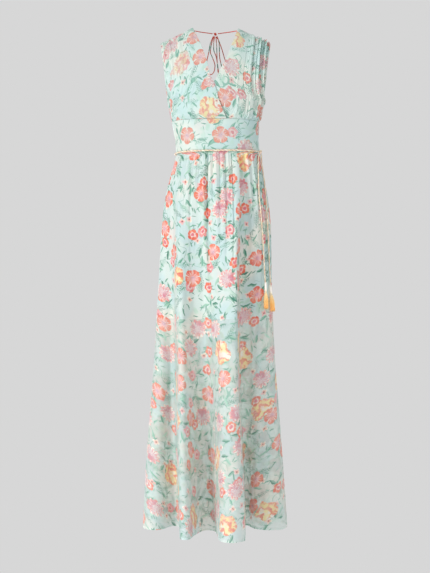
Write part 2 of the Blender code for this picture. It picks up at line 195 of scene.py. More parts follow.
# %% Edges of the laps and folds of the skirt
LAP_OVER = (
    # rise, x
    (0.000, 0.0300),
    (0.205, 0.0078),
    (0.357, -0.0030),
    (0.437, -0.0140),
    (0.593, -0.0234),
    (0.780, -0.0400),
    (0.930, -0.0565),
    (1.000, -0.0640),
)
LAP_UNDER = (
    # rise, x
    (0.000, -0.0550),
    (0.200, -0.0290),
    (0.376, -0.0040),
    (0.418, 0.0025),
    (0.541, 0.0175),
    (0.620, 0.0289),
    (0.780, 0.0435),
    (0.930, 0.0575),
    (1.000, 0.0640),
)
SKIRT_FOLDS = (
    # waist turn, hem x, hem y
    (-90, -0.204, 0.000),
    (-79, -0.173, -0.052),
    (-62, -0.118, 0.010),
    (-43, -0.081, -0.190),
    (-15, -0.020, -0.055),
    (12, 0.040, -0.232),
    (23, 0.073, -0.200),
    (31, 0.088, 0.015),
    (63, 0.150, -0.055),
    (90, 0.202, 0.000),
    (106, 0.176, 0.066),
    (121, 0.132, 0.052),
    (139, 0.102, 0.178),
    (157, 0.058, 0.108),
    (176, 0.010, 0.212),
    (194, -0.038, 0.120),
    (213, -0.088, 0.188),
    (234, -0.126, 0.058),
    (253, -0.174, 0.072),
    (270, -0.204, 0.000),
)
print("skirt folds", len(SKIRT_FOLDS) - 1)

# %% [markdown]
# A table is read through a curve that passes each row and never overshoots it, so a section keeps the
# widths that were written down. Fullness makes it run quicker past a row, which rounds the crest of a fold.

# %% Reading a table
def smooth(table, place, column, fullness=1.0):
    rows = np.array(table, float)
    if rows[0, 0] > rows[-1, 0]:
        rows = rows[::-1]
    across, value = rows[:, 0], rows[:, column]
    slope = np.diff(value) / np.diff(across)
    before, after = slope[:-1], slope[1:]
    turning = before * after > 0
    total = np.where(turning, before + after, 1.0)
    inner = np.where(turning, 2 * before * after / total, 0.0) * fullness
    tangent = np.concatenate([slope[:1], inner, slope[-1:]])
    place = np.clip(place, across[0], across[-1])
    at = np.clip(np.searchsorted(across, place) - 1, 0, len(across) - 2)
    run = across[at + 1] - across[at]
    t = (place - across[at]) / run
    return (
        value[at] * (1 + 2 * t) * (1 - t) ** 2
        + tangent[at] * run * t * (1 - t) ** 2
        + value[at + 1] * t * t * (3 - 2 * t)
        + tangent[at + 1] * run * t * t * (t - 1)
    )


def ease(value):
    value = np.clip(value, 0.0, 1.0)
    return value * value * (3 - 2 * value)


def curve_power(value):
    return np.sign(value) * np.abs(value) ** (2 / ROUNDNESS)


def points_of(x, y, z):
    return np.stack(np.broadcast_arrays(x, y, z), axis=-1).astype(float)


# %% Sections of the form and of the skirt
def form_point(turn, level):
    angle = np.radians(turn)
    side, ahead = np.sin(angle), np.cos(angle)
    half = np.where(side < 0, smooth(FORM, level, 1), smooth(FORM, level, 2))
    depth = np.where(ahead > 0, smooth(FORM, level, 3), smooth(FORM, level, 4))
    return points_of(half * curve_power(side), -depth * curve_power(ahead), level)


def form_outward(turn, level):
    """The level direction square to the form."""
    along = form_point(turn + 1, level) - form_point(turn - 1, level)
    return np.array((along[1], -along[0], 0)) / math.hypot(along[0], along[1])


def waist_level(x):
    return WAIST + WAIST_TILT * x


def closed_cut():
    """The fold table by the width of cloth round the hem, with a row repeated past each end."""
    widths = [0.0]
    for before, after in zip(SKIRT_FOLDS, SKIRT_FOLDS[1:]):
        widths.append(widths[-1] + math.hypot(after[1] - before[1], after[2] - before[2]))
    rows = [(width, *row) for width, row in zip(widths, SKIRT_FOLDS)]
    full = widths[-1]
    before = (rows[-2][0] - full, rows[-2][1] - 360, *rows[-2][2:])
    after = (rows[1][0] + full, rows[1][1] + 360, *rows[1][2:])
    return (before, *rows, after), widths[SIDE_LEFT], full


CUT, HALF_CUT, FULL_CUT = closed_cut()


def skirt_point(width, fall):
    turn = smooth(CUT, width, 1)
    top = waist_level(form_point(turn, WAIST)[..., 0]) - SEAM / 2
    level = top + fall * (HEM - top)
    at_hem = form_point(turn, HEM)
    fold_x = smooth(CUT, width, 2, FOLD_FULLNESS) - at_hem[..., 0]
    fold_y = smooth(CUT, width, 3) - at_hem[..., 1]
    growth = fall**FOLD_GROWTH
    return form_point(turn, level) + points_of(fold_x * growth, fold_y * growth, 0 * growth)


print("skirt cut at the hem: front %.3f m, all round %.3f m" % (HALF_CUT, FULL_CUT))

# %% [markdown]
# ## Cords
# The belt is a three-ply twisted cord. Its two ends hang free from the knot, each with a tassel. A twisted
# cord could be three curves wound together, but one tube whose section has three lobes, turned a little at
# each ring, gives the same grooves in a single closed skin. The nape bow is a narrow fabric tube.

# %% Routes of the belt
BELT_RADIUS = 0.0021
KNOT_TURN = 71
KNOT_SPAN = 3.6
KNOT_RADIUS = 0.0056
SEAT = 0.0005
BELT_END_FRONT = (
    (0.1222, -0.0400, -0.3563),
    (0.1190, -0.0475, -0.3768),
    (0.1188, -0.0543, -0.4022),
    (0.1198, -0.0639, -0.4440),
    (0.1212, -0.0701, -0.4850),
    (0.1248, -0.0701, -0.5130),
    (0.1284, -0.0691, -0.5570),
    (0.1320, -0.0669, -0.6100),
    (0.1352, -0.0647, -0.6660),
    (0.1392, -0.0625, -0.7330),
)
BELT_END_BACK = (
    (0.1278, -0.0338, -0.3568),
    (0.1288, -0.0326, -0.3768),
    (0.1316, -0.0318, -0.3994),
    (0.1379, -0.0370, -0.4460),
    (0.1419, -0.0470, -0.5000),
    (0.1450, -0.0525, -0.5550),
    (0.1478, -0.0500, -0.6100),
    (0.1507, -0.0452, -0.6740),
    (0.1547, -0.0430, -0.7400),
)
print("belt", 2 * BELT_RADIUS, "m thick")

# %% Routes of the nape ties and the bow
TIE_RADIUS = 0.0013
TIE_LEFT = (
    (0.0626, 0.0132, -0.0035),
    (0.0500, 0.0365, -0.0008),
    (0.0300, 0.0540, -0.0004),
    (0.0060, 0.0656, -0.0014),
)
TIE_RIGHT = (
    (-0.0626, 0.0132, -0.0035),
    (-0.0500, 0.0365, -0.0008),
    (-0.0320, 0.0535, -0.0004),
    (-0.0076, 0.0652, -0.0014),
)
BOW_LOOP_RIGHT = (
    (-0.0054, 0.0670, -0.0068),
    (-0.0150, 0.0738, -0.0290),
    (-0.0188, 0.0792, -0.0490),
    (-0.0255, 0.0874, -0.0800),
    (-0.0272, 0.0926, -0.1000),
    (-0.0210, 0.0962, -0.1125),
    (-0.0118, 0.0966, -0.1130),
    (-0.0030, 0.0936, -0.1010),
    (-0.0015, 0.0908, -0.0890),
    (-0.0080, 0.0854, -0.0680),
    (-0.0148, 0.0810, -0.0500),
    (-0.0116, 0.0764, -0.0290),
    (-0.0036, 0.0706, -0.0082),
)
BOW_LOOP_LEFT = (
    (0.0012, 0.0706, -0.0082),
    (0.0088, 0.0740, -0.0200),
    (0.0112, 0.0782, -0.0400),
    (0.0116, 0.0834, -0.0600),
    (0.0158, 0.0896, -0.0830),
    (0.0215, 0.0930, -0.0965),
    (0.0282, 0.0928, -0.0955),
    (0.0300, 0.0896, -0.0840),
    (0.0245, 0.0836, -0.0632),
    (0.0162, 0.0762, -0.0372),
    (0.0040, 0.0670, -0.0068),
)
BOW_END_RIGHT = (
    (-0.0024, 0.0662, -0.0081),
    (-0.0054, 0.0734, -0.0300),
    (-0.0052, 0.0768, -0.0430),
    (0.0030, 0.0830, -0.0680),
    (0.0062, 0.0894, -0.0920),
    (0.0074, 0.0936, -0.1085),
)
BOW_END_LEFT = (
    (0.0010, 0.0662, -0.0081),
    (0.0036, 0.0762, -0.0380),
    (0.0046, 0.0880, -0.0730),
    (0.0078, 0.0956, -0.0980),
    (0.0098, 0.0996, -0.1130),
)
print("ties", 2 * TIE_RADIUS, "m thick")


# %% Laying a grid
def points_in(mesh):
    flat = np.empty(len(mesh.vertices) * 3)
    mesh.vertices.foreach_get("co", flat)
    return flat.reshape(-1, 3)


def write_uv(mesh, name, values):
    """Fills a UV map with one pair of numbers for each point."""
    corner = np.empty(len(mesh.loops), int)
    mesh.loops.foreach_get("vertex_index", corner)
    layer = mesh.uv_layers.get(name) or mesh.uv_layers.new(name=name)
    layer.data.foreach_set("uv", values.reshape(-1, 2)[corner].reshape(-1))


def lay_grid(name, columns, rows, place, uv_of=None):
    """A bmesh grid whose points are set by place(across, up), with a UV map named cloth."""
    shape = bmesh.new()
    bmesh.ops.create_grid(shape, x_segments=columns, y_segments=rows, size=0.5, calc_uvs=False)
    mesh = bpy.data.meshes.new(name)
    shape.to_mesh(mesh)
    shape.free()
    flat = points_in(mesh).reshape(rows + 1, columns + 1, 3) + 0.5
    points = place(flat[..., 0], flat[..., 1])
    mesh.vertices.foreach_set("co", points.reshape(-1))
    write_uv(mesh, "cloth", (uv_of or cloth_uv)(points, flat[..., 0], flat[..., 1]))
    mesh.update()
    mesh.shade_smooth()
    return mesh


def cloth_uv(points, across, up):
    """Distances in metres along the cloth: across from its middle, and down from its top."""
    step_across = np.linalg.norm(np.diff(points, axis=1), axis=2)
    step_up = np.linalg.norm(np.diff(points, axis=0), axis=2)
    u = np.concatenate([0 * step_across[:, :1], np.cumsum(step_across, axis=1)], axis=1)
    v = np.concatenate([0 * step_up[:1], np.cumsum(step_up, axis=0)], axis=0)
    u -= u[:, u.shape[1] // 2][:, None]
    v -= v[-1]
    return np.stack([u, v], axis=-1)


def add_piece(name, mesh, material):
    """Adds the piece that stands for a node of the frame, under a name of its own."""
    mesh.name = name + "_fine"
    piece = bpy.data.objects.new(mesh.name, mesh)
    bpy.context.scene.collection.objects.link(piece)
    mesh.materials.append(material)
    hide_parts(name)
    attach(piece, BODY)
    return piece


# %% Smooth routes
ROUTE_STEPS = 1200


def way_along(line):
    """The distance travelled to each point of a line."""
    return np.concatenate([[0], np.cumsum(np.linalg.norm(np.diff(line, axis=0), axis=1))])


def route(points, count):
    """Evenly spaced points on a smooth curve through the given ones, and its length."""
    points = np.array(points, float)
    way = way_along(points)
    table = np.column_stack([way, points])
    fine_way = np.linspace(0, way[-1], ROUTE_STEPS)
    fine = np.stack([smooth(table, fine_way, column) for column in (1, 2, 3)], axis=-1)
    travelled = way_along(fine)
    target = np.linspace(0, travelled[-1], count)
    even = np.stack([np.interp(target, travelled, fine[:, axis]) for axis in range(3)], axis=-1)
    return even, travelled[-1]


def frames_along(line):
    """Two directions square to the line at each of its points, which turn as little as they can."""
    ahead = np.gradient(line, axis=0)
    ahead /= np.linalg.norm(ahead, axis=1)[:, None]
    side = np.cross(ahead[0], (0.31, 0.52, 0.79))
    sides = []
    for direction in ahead:
        side = side - direction * side.dot(direction)
        side = side / np.linalg.norm(side)
        sides.append(side)
    sides = np.array(sides)
    return sides, np.cross(ahead, sides)


# %% Tubes
SAME_PLACE = 0.000005
NO_LENGTH = 0.000001


def tube(name, line, radius, sides=8, lobes=0, lobe_depth=0.0, lay_length=0.012, ends=True):
    """A round or twisted tube along a line. Its UV is the share of the way round and the metres along."""
    line = np.asarray(line)
    rows = len(line) - 1
    one, two = frames_along(line)
    way = way_along(line)

    def place(across, up):
        row = np.rint(up * rows).astype(int)
        angle = across * math.tau
        wave = np.cos(lobes * angle - math.tau * way[row] / lay_length) if lobes else 0 * angle
        reach = radius * (1 - lobe_depth + lobe_depth * wave)
        if ends:
            to_end = np.minimum(way[row], way[-1] - way[row])
            reach = reach * np.sqrt(np.clip(1 - (1 - np.clip(to_end / radius, 0, 1)) ** 2, 0, 1))
        around = one[row] * np.cos(angle)[..., None] + two[row] * np.sin(angle)[..., None]
        return line[row] + around * reach[..., None]

    def uv_of(points, across, up):
        return np.stack([across, way[np.rint(up * rows).astype(int)]], axis=-1)

    mesh = lay_grid(name, sides, rows, place, uv_of)
    close_seams(mesh)
    return mesh


def close_seams(mesh):
    shape = bmesh.new()
    shape.from_mesh(mesh)
    bmesh.ops.remove_doubles(shape, verts=shape.verts, dist=SAME_PLACE)
    bmesh.ops.dissolve_degenerate(shape, edges=shape.edges, dist=NO_LENGTH)
    bmesh.ops.recalc_face_normals(shape, faces=shape.faces)
    shape.to_mesh(mesh)
    shape.free()
    mesh.shade_smooth()


# %% [markdown]
# ## Finishes
# All the cloth is one printed chiffon. Its print is painted by the shader, from flat-cloth coordinates in
# metres, so that blossoms keep their real size and follow every fold. Voronoi cells place the motifs: each
# cell's centre carries one blossom or leaf, turned and coloured by the cell's own random number. Sums on
# sockets are written as Python expressions through a small class, which keeps the long shader readable.

# %% Shader sums
class Wire:
    """A socket that can take part in Python sums."""

    def __init__(self, socket):
        self.socket = socket

    def beside(self, output):
        """Another output of the same node."""
        return Wire(self.socket.node.outputs[output])

    def maths(self, operation, *others):
        return node(self.socket.id_data, "ShaderNodeMath", {"operation": operation}, [self, *others])

    def __add__(self, other):
        return self.maths("ADD", other)

    def __sub__(self, other):
        return self.maths("SUBTRACT", other)

    def __rsub__(self, other):
        return node(self.socket.id_data, "ShaderNodeMath", {"operation": "SUBTRACT"}, [other, self])

    def __mul__(self, other):
        return self.maths("MULTIPLY", other)

    def __truediv__(self, other):
        return self.maths("DIVIDE", other)

    def __pow__(self, other):
        return self.maths("POWER", other)

    def soft(self, low, high):
        """0 below low, 1 above high and a smooth step between."""
        settings = {"interpolation_type": "SMOOTHSTEP"}
        return node(self.socket.id_data, "ShaderNodeMapRange", settings, [self, low, high])

    def __abs__(self):
        return self.maths("ABSOLUTE")

    __radd__ = __add__
    __rmul__ = __mul__


# %% Nodes, paints and coats
def node(tree, kind, settings, inputs, output=0):
    """Adds a node: its settings first, then its sockets' values or links, by order or by name."""
    made = tree.nodes.new(kind)
    for key, value in settings.items():
        if key == "stops":
            ramp = made.color_ramp
            while len(ramp.elements) < len(value):
                ramp.elements.new(1.0)
            for stop, (place, colour) in zip(ramp.elements, value):
                stop.position = place
                stop.color = colour
        else:
            setattr(made, key, value)
    pairs = inputs.items() if isinstance(inputs, dict) else enumerate(inputs)
    for key, value in pairs:
        if isinstance(value, Wire):
            tree.links.new(value.socket, made.inputs[key])
        else:
            made.inputs[key].default_value = value
    return Wire(made.outputs[output])


def paint(red, green, blue):
    """A colour given as it looks on a screen, from 0 to 255, as the shader's linear light."""
    share = [value / 255 for value in (red, green, blue)]
    return (*[v / 12.92 if v <= 0.04045 else ((v + 0.055) / 1.055) ** 2.4 for v in share], 1.0)


def mix(tree, factor, under, over):
    inputs = {0: factor, COLOUR_A: under, COLOUR_B: over}
    return node(tree, "ShaderNodeMix", {"data_type": "RGBA"}, inputs, COLOUR_OUT)


def coats(tree, colour, *layers):
    """Lays one paint after another over a colour, each with its own cover."""
    for cover, paint_over in layers:
        colour = mix(tree, cover, colour, paint_over)
    return colour


def vector_maths(tree, operation, one, other):
    return node(tree, "ShaderNodeVectorMath", {"operation": operation}, [one, other])


def noise(tree, place, scale, detail=2.0, offset=None):
    if offset:
        place = vector_maths(tree, "ADD", place, offset)
    inputs = {"Vector": place, "Scale": scale, "Detail": detail}
    return node(tree, "ShaderNodeTexNoise", {"noise_dimensions": "2D"}, inputs)


def read_uv(tree, name):
    """The two numbers of a UV map."""
    first = node(tree, "ShaderNodeSeparateXYZ", {}, [node(tree, "ShaderNodeUVMap", {"uv_map": name}, [])])
    return first, first.beside(1)


# %% Motifs of the print
MOTIF_SCATTER = 0.72


class Motifs:
    """One layer of the print: a jittered lattice of cells, with places measured from each cell's centre."""

    def __init__(self, tree, place, spacing, shift):
        moved = vector_maths(tree, "ADD", place, shift)
        cells = tree.nodes.new("ShaderNodeTexVoronoi")
        cells.voronoi_dimensions = "2D"
        cells.inputs["Scale"].default_value = 1 / spacing
        cells.inputs["Randomness"].default_value = MOTIF_SCATTER
        tree.links.new(moved.socket, cells.inputs["Vector"])
        chance = node(tree, "ShaderNodeSeparateColor", {}, [Wire(cells.outputs["Color"])])
        self.chance_two = chance.beside(1)
        self.chance_three = chance.beside(2)
        local = vector_maths(tree, "SUBTRACT", moved, Wire(cells.outputs["Position"]))
        turn = {"Vector": local, "Angle": chance * math.tau}
        turned = node(tree, "ShaderNodeVectorRotate", {"rotation_type": "Z_AXIS"}, turn)
        self.x = node(tree, "ShaderNodeSeparateXYZ", {}, [turned])
        self.y = self.x.beside(1)
        self.radius = (self.x * self.x + self.y * self.y) ** 0.5
        self.angle = self.y.maths("ARCTAN2", self.x)

    def petals(self, count, radius, notch, edge):
        """How far inside a blossom's outline a point is, from 0 outside to 1."""
        lobe = abs((self.angle * (count / 2)).maths("COSINE")) ** 0.55
        outline = (lobe * (1 - notch) + notch) * radius
        return (outline - self.radius).soft(0.0, edge)

    def leaf(self, length, width, edge=0.0006):
        """A pointed leaf along its own y."""
        share = self.y / length
        breadth = (1 - share * share) * width
        return (breadth - abs(self.x)).soft(0.0, edge)

    def fern(self, length, width, pitch):
        """A stem with slanting leaflets on both sides, narrower towards both ends."""
        share = self.y / length
        reach = (1 - share * share) * width
        aside = abs(self.x)
        step = ((self.y - aside * 1.3) / pitch).maths("FRACT") - 0.5
        leaflets = (0.24 - abs(step)).soft(0.0, 0.12) * (reach - aside).soft(0.0, 0.0012)
        stem = (0.0006 - aside).soft(0.0, 0.0004) * (1.0 - abs(share)).soft(0.0, 0.02)
        return leaflets.maths("MAXIMUM", stem)

    def present(self, share):
        """1 in about this share of the cells."""
        return (share - self.chance_two).soft(0.0, 0.002)


# %% Colours of the print
MINT = paint(223, 237, 232)
AQUA = paint(207, 230, 230)
CREAM = paint(246, 243, 231)
BLUSH = paint(246, 228, 222)
CORAL = paint(242, 128, 100)
DEEP_CORAL = paint(228, 90, 74)
PEACH = paint(250, 188, 164)
PINK = paint(242, 172, 180)
ROSE = paint(222, 112, 130)
VIOLET = paint(168, 120, 166)
YELLOW = paint(250, 232, 160)
AMBER = paint(246, 194, 110)
PALE_GREEN = paint(196, 226, 208)
MID_GREEN = paint(108, 174, 150)
DARK_GREEN = paint(54, 124, 104)
WINE = paint(160, 62, 84)
DOUBLED = paint(160, 196, 190)


# %% Ground and greenery
def ground(tree, place):
    """Watercolour washes of mint, aqua and cream, with faint large leaves."""
    aqua_at = noise(tree, place, 9.0, 3.0)
    cream_at = noise(tree, place, 6.5, 2.0, offset=(3.1, 7.7, 0))
    blush_at = noise(tree, place, 11.0, 2.0, offset=(8.3, 1.9, 0))
    pale = Motifs(tree, place, 0.047, (0.31, 0.77, 0))
    fade = noise(tree, place, 45.0, 1.0, offset=(4.0, 4.0, 0)).soft(0.3, 0.7)
    return coats(
        tree,
        MINT,
        (aqua_at.soft(0.38, 0.62), AQUA),
        (cream_at.soft(0.50, 0.68) * 0.8, CREAM),
        (blush_at.soft(0.62, 0.74) * 0.5, BLUSH),
        (pale.leaf(0.031, 0.0080, 0.004) * fade * 0.70, PALE_GREEN),
    )


SPRIGS = (
    # spacing, shift, length, pitch of the leaflets, colour
    (0.0520, (0.71, 0.42, 0), 0.0230, 0.0056, MID_GREEN),
    (0.0640, (0.36, 0.08, 0), 0.0260, 0.0064, DARK_GREEN),
)
LEAVES = (
    # spacing, shift, length, width, share of the cells that have one, two colours
    (0.0190, (0.43, 0.11, 0), 0.0084, 0.0015, 0.40, DARK_GREEN, MID_GREEN),
    (0.0245, (0.05, 0.59, 0), 0.0092, 0.0020, 0.38, MID_GREEN, DARK_GREEN),
    (0.0450, (0.87, 0.23, 0), 0.0140, 0.0046, 0.60, DARK_GREEN, MID_GREEN),
    (0.0530, (0.19, 0.95, 0), 0.0170, 0.0036, 0.52, MID_GREEN, PALE_GREEN),
    (0.0340, (0.62, 0.37, 0), 0.0135, 0.0027, 0.38, MID_GREEN, DARK_GREEN),
)


def greenery(tree, place, colour):
    """Stems, fern sprigs, thin strokes and pointed leaves; gives the colour and how much ink is there."""
    wander = noise(tree, place, 13.0, 1.0, offset=(5.2, 2.4, 0))
    patch = noise(tree, place, 12.0, 1.0, offset=(1.2, 9.4, 0)).soft(0.46, 0.52)
    stems = (0.0070 - abs(wander - 0.5)).soft(0.0, 0.004) * patch
    colour = mix(tree, stems * 0.8, colour, MID_GREEN)
    ink = stems * 0.5
    for spacing, shift, length, pitch, tone in SPRIGS:
        sprig = Motifs(tree, place, spacing, shift)
        shape = sprig.fern(length, 0.0078, pitch) * sprig.present(0.62)
        colour = mix(tree, shape * 0.8, colour, tone)
        ink = ink.maths("MAXIMUM", shape * 0.8)
    for spacing, shift, length, width, share, tone, other_tone in LEAVES:
        layer = Motifs(tree, place, spacing, shift)
        shape = layer.leaf(length, width) * layer.present(share)
        tint = mix(tree, layer.chance_three, tone, other_tone)
        half = layer.x.soft(-0.0004, 0.0004) * 0.4
        colour = mix(tree, shape * 0.96, colour, mix(tree, half, tint, PALE_GREEN))
        ink = ink.maths("MAXIMUM", shape)
    return colour, ink


# %% Small blossoms
def stars(tree, place, wash):
    """Small four-petalled stars; gives their outline and their colour."""
    cell = Motifs(tree, place, 0.052, (0.67, 0.35, 0))
    shape = cell.petals(4, 0.0100, 0.28, 0.0016) * cell.present(0.50)
    tint = coats(
        tree,
        PEACH,
        ((cell.radius / 0.0098).soft(0.25, 0.9), CREAM),
        (wash.soft(0.46, 0.56) * 0.6, PINK),
        ((0.0028 - cell.radius).soft(0, 0.0014), WINE),
    )
    return shape, tint


def rings(tree, place, fine, wash):
    """Round blossoms with a deep rim and a deep eye."""
    cell = Motifs(tree, place, 0.076, (0.23, 0.52, 0))
    shape = cell.petals(5, 0.0160, 0.76, 0.0012) * cell.present(0.62)
    share = cell.radius / 0.0158
    gaps = abs((cell.angle * 2.5).maths("COSINE"))
    rim = coats(
        tree, CORAL, (cell.chance_three.soft(0.60, 0.62), PINK), (wash.soft(0.48, 0.58) * 0.7, DEEP_CORAL)
    )
    tint = coats(
        tree,
        BLUSH,
        ((share + fine * 0.5).soft(0.62, 0.86), rim),
        ((0.34 - share + fine * 0.2).soft(0.05, 0.20), ROSE),
        ((0.30 - gaps).soft(0.0, 0.2) * 0.7, PEACH),
    )
    return shape, tint


# %% Large flowers
def large_flowers(tree, place, fine, wash):
    """The large flowers: plain coral, frilled pink, or broad and gold, as each cell's number says."""
    cell = Motifs(tree, place, 0.090, (0.11, 0.83, 0))
    broad = cell.chance_three.soft(0.83, 0.84)
    frilled = cell.chance_three.soft(0.42, 0.43)
    slim = abs(cell.angle.maths("COSINE")) * 0.36 + 0.70
    shape = cell.petals(5, 0.0245, 0.80, 0.0014) * (1 - frilled)
    shape = shape + cell.petals(11, 0.0270, 0.70, 0.0018) * (frilled - broad)
    shape = shape + cell.petals(5, 0.0350 * slim, 0.78, 0.0018) * broad
    share = cell.radius / 0.026
    rays = (cell.angle * 17.0 + fine * 11.0).maths("SINE").soft(-0.3, 0.8)
    streaks = (cell.angle * 29.0 + wash * 16.0).maths("SINE").soft(0.1, 0.9)
    lean = (cell.angle + wash * 5.0).maths("SINE").soft(-0.4, 0.8)
    gaps = abs((cell.angle * 2.5).maths("COSINE"))
    bands = (cell.y * 230.0 + abs(cell.x) * 150.0 + wash * 10.0).maths("SINE")
    coral = coats(
        tree,
        PINK,
        ((share + lean * 0.25 + fine * 0.8).soft(0.64, 1.00), CORAL),
        (lean * wash.soft(0.42, 0.58) * 0.85, DEEP_CORAL),
        ((0.30 - gaps).soft(0.0, 0.2) * share.soft(0.30, 0.55) * 0.85, CREAM),
        ((0.88 - share).soft(0.0, 0.45) * rays * 0.80, BLUSH),
        ((0.20 - share + fine * 0.3).soft(0.05, 0.22) * streaks * 0.9, VIOLET),
    )
    pink = coats(
        tree,
        CREAM,
        (rays * 0.85, PINK),
        (lean * wash.soft(0.44, 0.56) * 0.8, ROSE),
        (abs(fine - 0.5).soft(0.06, 0.015) * share.soft(0.2, 0.5) * 0.7, CORAL),
        ((0.70 - share + fine * 0.4).soft(0.05, 0.35) * streaks * 0.8, VIOLET),
    )
    gold = coats(
        tree,
        CREAM,
        ((cell.y * 24.0 + wash * 1.4).soft(0.3, 1.1), PEACH),
        (wash.soft(0.40, 0.56) * 0.85, YELLOW),
        (bands.soft(-0.1, 0.5) * lean * 0.8, AMBER),
        (bands.soft(0.25, 0.70) * (lean * 0.35 + 0.6), CORAL),
        (bands.soft(0.75, 0.95) * rays * 0.85, ROSE),
        (share.soft(0.70, 1.10) * rays * 0.85, CORAL),
    )
    return shape * cell.present(0.90), coats(tree, coral, (frilled, pink), (broad, gold))


# %% All the blossoms
def blossoms(tree, place, colour, ink):
    """Small stars, ring blossoms and the large flowers, over the greenery."""
    fine = noise(tree, place, 105.0, 2.0, offset=(2.0, 4.0, 0))
    wash = noise(tree, place, 52.0, 2.0, offset=(6.0, 1.0, 0))
    flowers = (
        (*stars(tree, place, wash), 0.9),
        (*rings(tree, place, fine, wash), 0.95),
        (*large_flowers(tree, place, fine, wash), 0.95),
    )
    for shape, tint, cover in flowers:
        colour = mix(tree, shape * cover, colour, tint)
        ink = ink.maths("MAXIMUM", shape)
    return colour, ink


# %% [markdown]
# ### Sheer and doubled cloth
# In the sheer skirt the shader leaves clear gaps between the yarns, fewer where the print is inked and where
# the lining lies close behind, and passes on a share of the light. The bodice and the band are doubled, so
# their cloth is opaque and a little deeper in colour.

# %% Bump and light of the cloth
YARNS = 1400.0
BUMP_DEPTH = 0.0002


def crepe(tree, place, strength):
    """The fine pebble of crepe yarns, as a bump."""
    inputs = {"Strength": strength, "Distance": BUMP_DEPTH, "Height": noise(tree, place, YARNS, 2.0)}
    return node(tree, "ShaderNodeBump", {}, inputs)


def new_finish(name):
    material = bpy.data.materials.new(name)
    material.use_nodes = True
    return material, material.node_tree, material.node_tree.nodes["Principled BSDF"]


def settle(shader, **values):
    """Sets plain values of the shader; an underscore in a name stands for a space."""
    for key, value in values.items():
        shader.inputs[key.replace("_", " ")].default_value = value


def join(tree, wire, shader, socket):
    tree.links.new(wire.socket, shader.inputs[socket])


def let_light_through(tree, shader, share, opacity):
    """Sends a share of the light on through the cloth, and leaves the gaps between the yarns clear."""
    through = node(tree, "ShaderNodeBsdfTranslucent", {}, {"Color": paint(222, 238, 228)})
    cloth = node(tree, "ShaderNodeMixShader", {}, {0: share, 1: Wire(shader.outputs[0]), 2: through})
    gap = node(tree, "ShaderNodeBsdfTransparent", {}, {})
    woven = node(tree, "ShaderNodeMixShader", {}, {0: opacity, 1: gap, 2: cloth})
    tree.links.new(woven.socket, tree.nodes["Material Output"].inputs["Surface"])


# %% Printed chiffon
UNLINED_PALENESS = 0.15
DOUBLED_SHARE = 0.28
HAND_SCALE = 70.0
HAND_REACH = 0.0055
SIDE_TURNING = 0.004
HEM_TURNING = 0.006
SOFT_EDGE = 0.0008
INK_COVER = 0.95


def drawn_by_hand(tree, flat):
    """Moves each place a little, so that no outline of the print is quite regular."""
    settings = {"noise_dimensions": "2D"}
    hand = node(tree, "ShaderNodeTexNoise", settings, {"Vector": flat, "Scale": HAND_SCALE}, 1)
    hand = vector_maths(tree, "SUBTRACT", hand, (0.5, 0.5, 0.5))
    hand = vector_maths(tree, "MULTIPLY", hand, (HAND_REACH, HAND_REACH, 0))
    return vector_maths(tree, "ADD", flat, hand)


def chiffon(name, cover, cover_lined=1.0, glow=0.0, paleness=0.0):
    """Printed chiffon: cover is how much of the plain ground is opaque, on its own and over the lining."""
    material, tree, shader = new_finish(name)
    flat = node(tree, "ShaderNodeUVMap", {"uv_map": "cloth"}, [])
    place = drawn_by_hand(tree, flat)
    colour, ink = greenery(tree, place, ground(tree, place))
    colour, ink = blossoms(tree, place, colour, ink)
    if cover == 1:
        colour = mix(tree, DOUBLED_SHARE, colour, DOUBLED)
    else:
        fall, _ = read_uv(tree, "fall")
        lined = (LINING_FALL - fall).soft(-SOFT_EDGE, SOFT_EDGE)
        colour = mix(tree, (1 - lined) * UNLINED_PALENESS + paleness, colour, MINT)
        from_side, from_hem = read_uv(tree, "edge")
        turned_up = (HEM_TURNING - from_hem).soft(0.0, SOFT_EDGE)
        turned_up = turned_up.maths("MAXIMUM", (SIDE_TURNING - from_side).soft(0.0, SOFT_EDGE))
        plain_cover = lined * (cover_lined - cover) + cover
        yarns = noise(tree, flat, 900.0, 1.0) * 0.10
        opacity = plain_cover + yarns + ink * (INK_COVER - plain_cover) + turned_up * 0.25
        let_light_through(tree, shader, glow * (1 - ink * 0.6), opacity.maths("MINIMUM", 1.0))
    join(tree, colour, shader, "Base Color")
    join(tree, crepe(tree, flat, 0.25), shader, "Normal")
    join(tree, 0.62 + noise(tree, flat, 240.0) * 0.25, shader, "Roughness")
    settle(shader, Specular_IOR_Level=0.25, Sheen_Weight=0.12, Sheen_Roughness=0.5)
    return material


printed = chiffon("printed chiffon", 1.0)
sheer = chiffon("sheer printed chiffon", 0.67, 0.93, glow=0.08)
sheer_back = chiffon("sheer printed chiffon of the back", 0.56, 0.91, glow=0.32, paleness=0.10)
print("print nodes", len(sheer.node_tree.nodes))


# %% Lining
def lining_finish():
    """A plain dull satin."""
    material, tree, shader = new_finish("mint lining")
    flat = node(tree, "ShaderNodeUVMap", {"uv_map": "cloth"}, [])
    tone = noise(tree, flat, 12.0, 3.0)
    join(tree, mix(tree, tone, paint(200, 232, 228), paint(212, 238, 233)), shader, "Base Color")
    join(tree, crepe(tree, flat, 0.12), shader, "Normal")
    join(tree, 0.45 + noise(tree, flat, 300.0) * 0.2, shader, "Roughness")
    settle(shader, Specular_IOR_Level=0.35)
    return material


lining_cloth = lining_finish()


# %% Twisted cord and rouleau
LAY_LENGTH = 0.0105
PLIES = 3
TIE_GIRTH = 0.008
FIBRES = 5200.0


